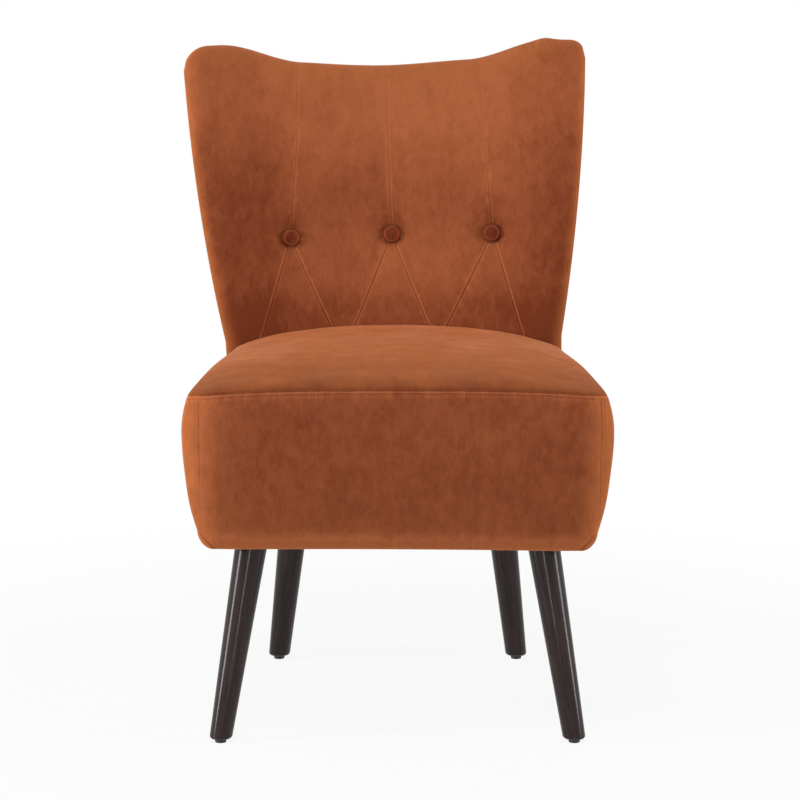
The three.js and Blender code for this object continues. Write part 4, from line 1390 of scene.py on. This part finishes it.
    def wall(self, drop: float) -> Pair:
        """The wall's height, and how far it is drawn in, at a distance below the seam."""
        height = self.seam_height - drop
        if height > self.widest_height:
            share = (height - self.widest_height) / self.upper
            return height, self.seam_draw * share**2
        share = (self.widest_height - height) / (self.straight - self.upper)
        return height, self.foot_draw * share**self.wall_power

    def border_point(self, across: float, along: float, run: float, drop: float) -> Laid:
        """A point of the border.

        Args:
            across: Share of the half width.
            along: Share of the depth.
            run: Distance along the outline.
            drop: Distance below the seam; past the wall it runs round the bottom and under.

        Returns:
            The place, the painted shade there and the painted light there.
        """
        wall, quarter = self.straight, self.quarter
        bend = min(max(drop - wall, 0) / self.foot_radius, math.pi / 2)
        lip = max(drop - wall - quarter, 0)
        height, draw = self.wall(min(drop, wall))
        height -= self.foot_radius * math.sin(bend)
        draw += self.foot_radius * (1 - math.cos(bend))
        tuck = self.side_tuck * ease(abs(across), 0.8, 1)
        draw += tuck * ease(drop, wall - self.tuck_start, wall + quarter / 2)
        point = self.place(across, along, height, draw, lip)
        outward = point - self.place(across, along, height, draw + 0.001, lip)
        outward = outward.normalized() if outward.length else Vector((0, -1, 0))
        waves = rough(Vector((run * 115, 0.3, 5.0)), Vector((run * 260, 7.3, 1.0)), (1, 0.6))
        folds = rough(Vector((run * 55, 2.3, 8.0)), Vector((run * 140, 4.3, 3.0)), (1, 0.5))
        roll = bell(drop - wall - 0.45 * quarter, 0.014) * (1 - 0.8 * ease(abs(across), 0.85, 1))
        puckers = waves * JOIN_PUCKERS.at(drop) + ROLL_FOLDS * folds * roll
        sunk = JOIN_GROOVE.at(drop) + STITCH_GROOVE.at(drop)
        # Painted shade at the seam and the stitching; painted highlights beside them, on the
        # puckers, on the roll at the bottom and towards both sides.
        crease = strongest((JOIN_SHADE, STITCH_SHADE), drop)
        light = JOIN_LIGHT.at(drop) + waves * PUCKER_LIGHT.at(drop)
        light += STITCH_LIGHT.at(drop) + roll * (1.5 + 0.9 * folds)
        light += 0.55 * ease(-point.x, *self.left_light) + 0.42 * ease(point.x, *self.right_light)
        if along < 0.2 and drop < wall + quarter:
            seam = self.right_corner_seam_x if point.x > 0 else self.corner_seam_x
            beside = abs(point.x) - seam
            fade = ease(drop, 0.002, 0.010) * ease(height, *self.corner_seam_heights)
            sunk += fade * sum(groove.at(beside) for groove in CORNER_GROOVES)
            # Painted shade and highlight beside the corner seams.
            crease = max(crease, fade * strongest(CORNER_SHADES, beside))
            light = max(light, fade * CORNER_LIGHT.at(beside))
            dart = abs(point.x) - self.dart_x + self.dart_height - height
            fade = ease(self.dart_height - height, -self.dart_fade, 0)
            fade *= 1 - ease(along, 0.03, 0.08)
            sunk += fade * DART_GROOVE.at(dart)
            # Painted shade along the dart.
            crease = max(crease, fade * DART_SHADE.at(dart))
        swell = self.unevenness(point + UP * 2) * ease(drop, 0.004, 0.03)
        swell *= 1 - bend / (math.pi / 2)
        point += outward * (puckers + swell - sunk)
        sides = point.x / (self.width / 2)
        sag = self.side_sag * sides**2 + self.right_sag * sides
        sag *= ease(drop, self.upper, wall + quarter)
        sag *= (1 - ease(lip, 0, 0.006)) * (1 - ease(along, 0.75, 0.95))
        point.z += self.lifted(across, along, drop) - sag
        return point, crease, light

    def border(self) -> Piece:
        """The border panels, from the seam to the lip under the frame."""
        foot = self.straight + self.quarter
        stops = [0, 0.009, 0.016, 0.030, self.straight, foot, foot + self.lip_width]
        drops = graded(stops, [0.0008, 0.0012, 0.0025, 0.0048, 0.0034, 0.008])
        outline = self.outline()
        shape, spot = net(list(range(len(outline))), drops)
        crease, pile_and_painted_light = shade_layers(shape)
        for point in shape.verts:
            across, along, run = outline[round(point[spot].x)]
            point.co, point[crease], light = self.border_point(across, along, run, point[spot].y)
            # The painted light worked out for the border.
            point[pile_and_painted_light] = 0.12 + light
        edges = [e for e in shape.edges if e.is_boundary and all(v[spot].y == 0 for v in e.verts)]
        self.tuck_in(shape, edges, 0.006, 0.0002)
        face_out(shape)
        self.open_rear(shape)
        piece = new_piece("seat_border_velvet", shape, VELVET)
        thicken(piece, self.cloth)
        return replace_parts(piece, "seat_cover")

    def open_rear(self, shape: Shape) -> None:
        """Leaves out the rear wall below the deck, where the frame runs through to the back."""
        half = self.rear_width / 2 - self.opening_inset

        def hidden(centre: Vector, normal: Vector) -> bool:
            """Whether a face lies in the frame's way."""
            rear = self.front + self.rear(centre.x, centre.z) - self.opening_depth
            inner = normal.y > FACING or abs(centre.x) < half - self.opening_side
            low = centre.z < self.deck_height and abs(centre.x) < half
            return low and centre.y > rear and inner

        leave_out(shape, hidden)

    def stuffing(self) -> Piece:
        """The foam under the covers, over the deck and down the sides of the frame."""
        half = self.width / 2
        columns = mirrored(graded([0, 0.9, 1], [0.03 / half, 0.008 / half]))
        rows = graded([0, 0.1, 1], [0.02, 0.06])
        shape, spot = net(columns, rows)
        for point in shape.verts:
            across, along, _ = point[spot]
            height = self.crown(across, along)
            place = self.place(across, along, height, self.seam_draw, 0, self.foam_depth)
            point.co = place - UP * self.foam_depth
        edges = [e for e in shape.edges if e.is_boundary]
        for drop in graded([0, self.upper, self.straight], [0.017, 0.025])[1:]:

            def lower(point: Point, drop: float = drop) -> None:
                """Moves a point down the wall."""
                across, along, _ = point[spot]
                place = self.place(across, along, *self.wall(drop), 0, self.foam_depth)
                point.co = place + UP * self.lifted(across, along, drop)

            edges = extruded(shape, edges, lower)
        face_out(shape)
        self.open_rear(shape)
        piece = new_piece("seat_stuffing", shape, FOAM)
        thicken(piece, self.foam_wall)
        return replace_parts(piece, "seat_foam", "seat_edge_padding")

    def topstitching(self) -> Piece:
        """The row of stitches below the seam, over the front and both sides."""
        shape = bmesh.new()
        outline = [place for place in self.outline() if place[1] < 0.97]
        points = [self.border_point(*place, STITCH_DROP)[0] for place in outline]
        pitch = self.stitch_length + self.stitch_gap
        start = outline[0][2]
        for k in range(int((outline[-1][2] - start) / pitch)):
            middle = start + (k + 0.5) * pitch
            after = next(i for i, place in enumerate(outline) if place[2] > middle)
            before_run, after_run = outline[after - 1][2], outline[after][2]
            share = (middle - before_run) / (after_run - before_run)
            centre = points[after - 1].lerp(points[after], share)
            along = (points[after] - points[after - 1]).normalized()
            outward = along.cross(UP).normalized()
            stitch = bmesh.ops.create_uvsphere(shape, u_segments=6, v_segments=5, radius=0.5)
            size = (self.stitch_length, self.stitch_thread, self.stitch_thread)
            matrix = set_along(centre + outward * self.stitch_thread / 8, along, outward, size)
            bmesh.ops.transform(shape, verts=stitch["verts"], matrix=matrix)
        bmesh.ops.recalc_face_normals(shape, faces=shape.faces)
        return new_piece("seat_topstitching", shape, THREAD)

    def build(self) -> None:
        """Makes the seat's pieces."""
        self.stuffing()
        self.top()
        self.border()
        self.topstitching()


# Legs and underside


# The screw head's radii and heights, from the plate.
SCREW_HEAD = ((0, 0), (0.0034, 0), (0.0034, 0.0016), (0.0022, 0.0024), (0, 0.0026))
RECESS_HEIGHT = 0.0023  # the faces of the head above it are pressed in
SCREW_GAP = 0.00005
ENDS = ("front", "rear")
SIDES = ("left", "right")


def middle(name: str) -> Pair:
    """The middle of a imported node, in plan."""
    low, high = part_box(name)
    return (low[0] + high[0]) / 2, (low[1] + high[1]) / 2


@dataclass
class Leg:
    """One turned and tapered leg on its glide, with its mounting plate."""

    side: str
    end: str
    top_diameter: float = 0.043
    foot_diameter: float = 0.030
    chamfer: float = 0.0025
    glide_diameter: float = 0.015
    screw_inset: float = 0.008

    def wood(self) -> Piece:
        """The leg itself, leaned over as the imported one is."""
        name = f"{self.side}_{self.end}_leg"
        low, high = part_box(name)
        foot_x, foot_y = middle(f"{self.side}_{self.end}_glide")
        top_x, top_y = middle(f"{self.side}_{self.end}_leg_plate")
        height = high[2] - low[2]
        ends = [
            (0, 0),
            (self.foot_diameter / 2 - self.chamfer, 0),
            (self.foot_diameter / 2, self.chamfer),
            (self.top_diameter / 2, height),
            (0, height),
        ]
        shape = lathe(rounded(ends, 0.0012), 72)
        grain = shape.verts.layers.float_vector.new("grain")
        shift = Vector((len(self.side) * 0.31, len(self.end) * 0.17, 0))
        for point in shape.verts:
            point[grain] = point.co + shift
            share = point.co.z / height
            point.co.x += mix(foot_x, top_x, share)
            point.co.y += mix(foot_y, top_y, share)
            point.co.z += low[2]
        piece = new_piece(f"{name}_turning", shape, LEG_WOOD)
        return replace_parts(piece, name)

    def glide(self) -> Piece:
        """The moulded glide under the foot, with its rounded rim."""
        name = f"{self.side}_{self.end}_glide"
        low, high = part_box(name)
        radius, height = self.glide_diameter / 2, high[2] - low[2]
        profile = rounded([(0, 0), (radius, 0), (radius, height), (0, height)], 0.0014, 5)
        shape = lathe(profile, 48)
        shape.transform(Matrix.Translation((*middle(name), low[2])))
        piece = new_piece(f"{name}_moulding", shape, GLIDE_NYLON)
        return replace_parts(piece, name)

    def screws(self) -> Piece:
        """The pan-head screws that hold the mounting plate."""
        low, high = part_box(f"{self.side}_{self.end}_leg_plate")
        upside_down = Matrix.Rotation(math.pi, 4, "X")
        shape = bmesh.new()
        for x in (low[0] + self.screw_inset, high[0] - self.screw_inset):
            for y in (low[1] + self.screw_inset, high[1] - self.screw_inset):
                head = lathe(rounded(SCREW_HEAD, 0.0007), 24)
                recess = [f for f in head.faces if f.calc_center_median().z > RECESS_HEIGHT]
                bmesh.ops.inset_region(head, faces=recess, thickness=0.0004, depth=-0.0006)
                head.transform(Matrix.Translation((x, y, low[2] - SCREW_GAP)) @ upside_down)
                mesh = bpy.data.meshes.new("screw")
                head.to_mesh(mesh)
                head.free()
                shape.from_mesh(mesh)
                bpy.data.meshes.remove(mesh)
        return new_piece(f"{self.side}_{self.end}_plate_screws", shape, ZINC)

    def build(self) -> None:
        """Makes the leg's pieces."""
        self.wood()
        self.glide()
        self.screws()


@dataclass
class DustCover:
    """The cloth stapled under the frame, cut out round the four mounting plates."""

    seat: Seat
    grid: float = 0.018
    opening_gap: float = 0.0006
    cloth: float = 0.0005
    slack: float = 0.0005
    staple_pitch: float = 0.042
    staple_inset: float = 0.006
    staple_length: float = 0.011
    staple_wire: float = 0.0011
    staple_clearance: float = 0.01

    @cached_property
    def openings(self) -> list[tuple[float, float, float, float]]:
        """The cut-outs, as lowest and highest x and y."""
        boxes = [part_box(f"{side}_{end}_leg_plate") for side in SIDES for end in ENDS]
        gap = self.opening_gap
        return [(low[0] - gap, high[0] + gap, low[1] - gap, high[1] + gap) for low, high in boxes]

    def over_plate(self, place: Vector, margin: float = 0.0) -> bool:
        """Whether a place lies in a cut-out or within a margin of one."""
        return any(
            low_x - margin < place.x < high_x + margin
            and low_y - margin < place.y < high_y + margin
            for low_x, high_x, low_y, high_y in self.openings
        )

    def sides(self) -> tuple[Vector, Vector]:
        """The right-hand corners of the cloth, front and rear."""
        low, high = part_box("dust_cover")
        inset = self.seat.half_width(low[1] - self.seat.front) - high[0]
        rear = self.seat.half_width(high[1] - self.seat.front) - inset
        return Vector((high[0], low[1], 0)), Vector((rear, high[1], 0))

    def sheet(self) -> Piece:
        """The cloth."""
        low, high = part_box("dust_cover")
        front, rear = self.sides()
        across = sorted({low[0], high[0], *(edge for cut in self.openings for edge in cut[:2])})
        along = sorted({low[1], high[1], *(edge for cut in self.openings for edge in cut[2:])})
        columns = graded(across, [self.grid] * (len(across) - 1))
        rows = graded(along, [self.grid] * (len(along) - 1))
        shape, spot = net(columns, rows)
        for point in shape.verts:
            x, y, _ = point[spot]
            ripple = self.slack * (noise.noise(Vector((x * 24, y * 24, 3.0))) - 0.4)
            point.co = (x, y, mix(low[2], high[2], 0.2) + ripple * ease(front.x - abs(x), 0, 0.04))
        leave_out(shape, lambda centre, normal: self.over_plate(centre))
        for side in (-1, 1):
            edge = Vector(((rear.x - front.x) * side, rear.y - front.y, 0))
            bmesh.ops.bisect_plane(
                shape,
                geom=shape.verts[:] + shape.edges[:] + shape.faces[:],
                plane_co=(front.x * side, front.y, 0),
                plane_no=(edge.y * side, -edge.x * side, 0),
                clear_outer=True,
            )
        bmesh.ops.recalc_face_normals(shape, faces=shape.faces)
        if sum(face.normal.z for face in shape.faces) > 0:
            bmesh.ops.reverse_faces(shape, faces=shape.faces)
        area = sum(face.calc_area() for face in shape.faces)
        piece = new_piece("dust_cloth_sheet", shape, DUST_CLOTH)
        thicken(piece, self.cloth)
        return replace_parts(piece, "dust_cover")

    def staples(self) -> Piece:
        """The staples along the cloth's edges."""
        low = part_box("dust_cover")[0]
        front, rear = self.sides()
        corners = [(-front.x, front.y), (front.x, front.y), (rear.x, rear.y), (-rear.x, rear.y)]
        shape = bmesh.new()
        for start, end in zip(corners, corners[1:] + corners[:1]):
            start, end = Vector((*start, 0)), Vector((*end, 0))
            along = (end - start).normalized()
            inward = UP.cross(along)
            count = int((end - start).length / self.staple_pitch)
            for k in range(count):
                centre = start.lerp(end, (k + 0.5) / count) + inward * self.staple_inset
                if self.over_plate(centre, self.staple_clearance):
                    continue
                centre.z = low[2] + self.staple_wire * 0.1
                crown = bmesh.ops.create_cube(shape, size=1)
                size = (self.staple_length, self.staple_wire, self.staple_wire * 0.6)
                matrix = set_along(centre, along, inward, size)
                bmesh.ops.transform(shape, verts=crown["verts"], matrix=matrix)
        bmesh.ops.bevel(
            shape,
            geom=shape.edges[:],
            offset=self.staple_wire * 0.22,
            offset_type="OFFSET",
            affect="EDGES",
            segments=1,
            profile=0.5,
            material=-1,
        )
        return new_piece("dust_cloth_staples", shape, ZINC)

    def build(self) -> None:
        """Makes the cloth and its staples."""
        self.sheet()
        self.staples()


# Studio


@dataclass(frozen=True)
class Studio:
    """The pale floor, the soft lamps and the camera."""

    seat_front: float
    camera_distance: float = 5.000
    camera_height: float = 1.326
    camera_aside: float = 0.0033
    camera_pitch: float = math.radians(9.78)
    focal_length: float = 177.6
    aim: float = 0.5  # the height that every lamp points at

    def camera(self) -> None:
        """A long lens at the photograph's viewing angle."""
        data = bpy.data.cameras.new("camera")
        data.lens = self.focal_length
        data.sensor_width = 36
        data.sensor_fit = "HORIZONTAL"
        data.clip_end = 100
        camera = bpy.data.objects.new("camera", data)
        y = self.seat_front - self.camera_distance
        camera.location = (self.camera_aside, y, self.camera_height)
        camera.rotation_euler = (math.pi / 2 - self.camera_pitch, 0, 0)
        bpy.context.scene.collection.objects.link(camera)
        bpy.context.scene.camera = camera

    def lamp(self, name: str, place: Vector, size: Pair, power: float) -> None:
        """A soft box that points at the middle of the chair."""
        data = bpy.data.lights.new(name, "AREA")
        data.shape = "RECTANGLE"
        data.size, data.size_y = size
        data.energy = power
        lamp = bpy.data.objects.new(name, data)
        lamp.location = place
        lamp.rotation_euler = (UP * self.aim - place).to_track_quat("-Z", "Y").to_euler()
        bpy.context.scene.collection.objects.link(lamp)

    def floor(self) -> None:
        """A wide, nearly white floor that keeps the chair's shadow."""
        shape = bmesh.new()
        bmesh.ops.create_grid(shape, x_segments=1, y_segments=1, size=40)
        mesh = bpy.data.meshes.new("floor")
        shape.to_mesh(mesh)
        shape.free()
        floor = bpy.data.objects.new("floor", mesh)
        mesh.materials.append(bpy.data.materials.new("floor"))
        tree = ShaderTree(mesh.materials[0])
        place = tree.node("ShaderNodeTexCoord", output="Object")
        reach = tree.node("ShaderNodeVectorMath", {"operation": "LENGTH"}, {0: place}, "Value")
        plain = tree.node("ShaderNodeBsdfDiffuse", values={"Color": (0.80, 0.80, 0.80, 1)})
        glow = tree.node("ShaderNodeEmission", values={"Color": (1, 1, 1, 1), "Strength": 1.0})
        white = 0.90 + 0.10 * reach.ramp(0.5, 1.3)
        seen = tree.node("ShaderNodeMixShader", values={0: white, 1: plain, 2: glow})
        tree.show(tree.node("ShaderNodeMixShader", values={0: self.seen(tree), 1: plain, 2: seen}))
        bpy.context.scene.collection.objects.link(floor)

    @staticmethod
    def seen(tree: ShaderTree) -> Field:
        """Whether a ray comes from the camera, or off or through something that it sees."""
        rays = [
            tree.node("ShaderNodeLightPath", output=name)
            for name in ("Is Camera Ray", "Is Glossy Ray", "Is Transmission Ray")
        ]
        settings = {"operation": "ADD", "use_clamp": True}
        some = tree.node("ShaderNodeMath", settings, {0: rays[0], 1: rays[1]})
        return tree.node("ShaderNodeMath", settings, {0: some, 1: rays[2]})

    def world(self) -> None:
        """Even light from all round, and a white background."""
        bpy.context.scene.world = bpy.data.worlds.new("studio")
        tree = ShaderTree(bpy.context.scene.world)
        dim = tree.node("ShaderNodeBackground", values={"Color": (1, 1, 1, 1), "Strength": 0.12})
        white = tree.node("ShaderNodeBackground", values={"Color": (1, 1, 1, 1), "Strength": 1.0})
        surface = tree.node("ShaderNodeMixShader", values={0: self.seen(tree), 1: dim, 2: white})
        tree.show(surface, "ShaderNodeOutputWorld")

    def build(self) -> None:
        """Sets up the studio."""
        self.camera()
        self.floor()
        self.world()
        self.lamp("key", Vector((-0.4, -2.0, 3.4)), (1.8, 1.4), 50)
        self.lamp("front", Vector((-0.5, -4.2, 1.3)), (0.26, 1.9), 22)
        self.lamp("left", Vector((-3.1, -1.0, 1.2)), (0.6, 2.4), 84)
        self.lamp("right", Vector((3.1, -0.8, 1.2)), (0.6, 2.4), 60)
        self.lamp("rear", Vector((0, 2.6, 3.0)), (2.2, 1.2), 20)
        bpy.context.scene.view_settings.view_transform = "Standard"


def main() -> None:
    """Builds the chair and its studio."""
    logging.basicConfig(level=logging.INFO, format="%(name)s: %(message)s")
    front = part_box("seat_cover")[0][1]
    Studio(front).build()
    dress_nodes()
    back = Back(front)
    back.build()
    seat = Seat(front, back)
    seat.build()
    DustCover(seat).build()
    for side in SIDES:
        for end in ENDS:
            Leg(side, end).build()


if __name__ == "__main__":
    main()
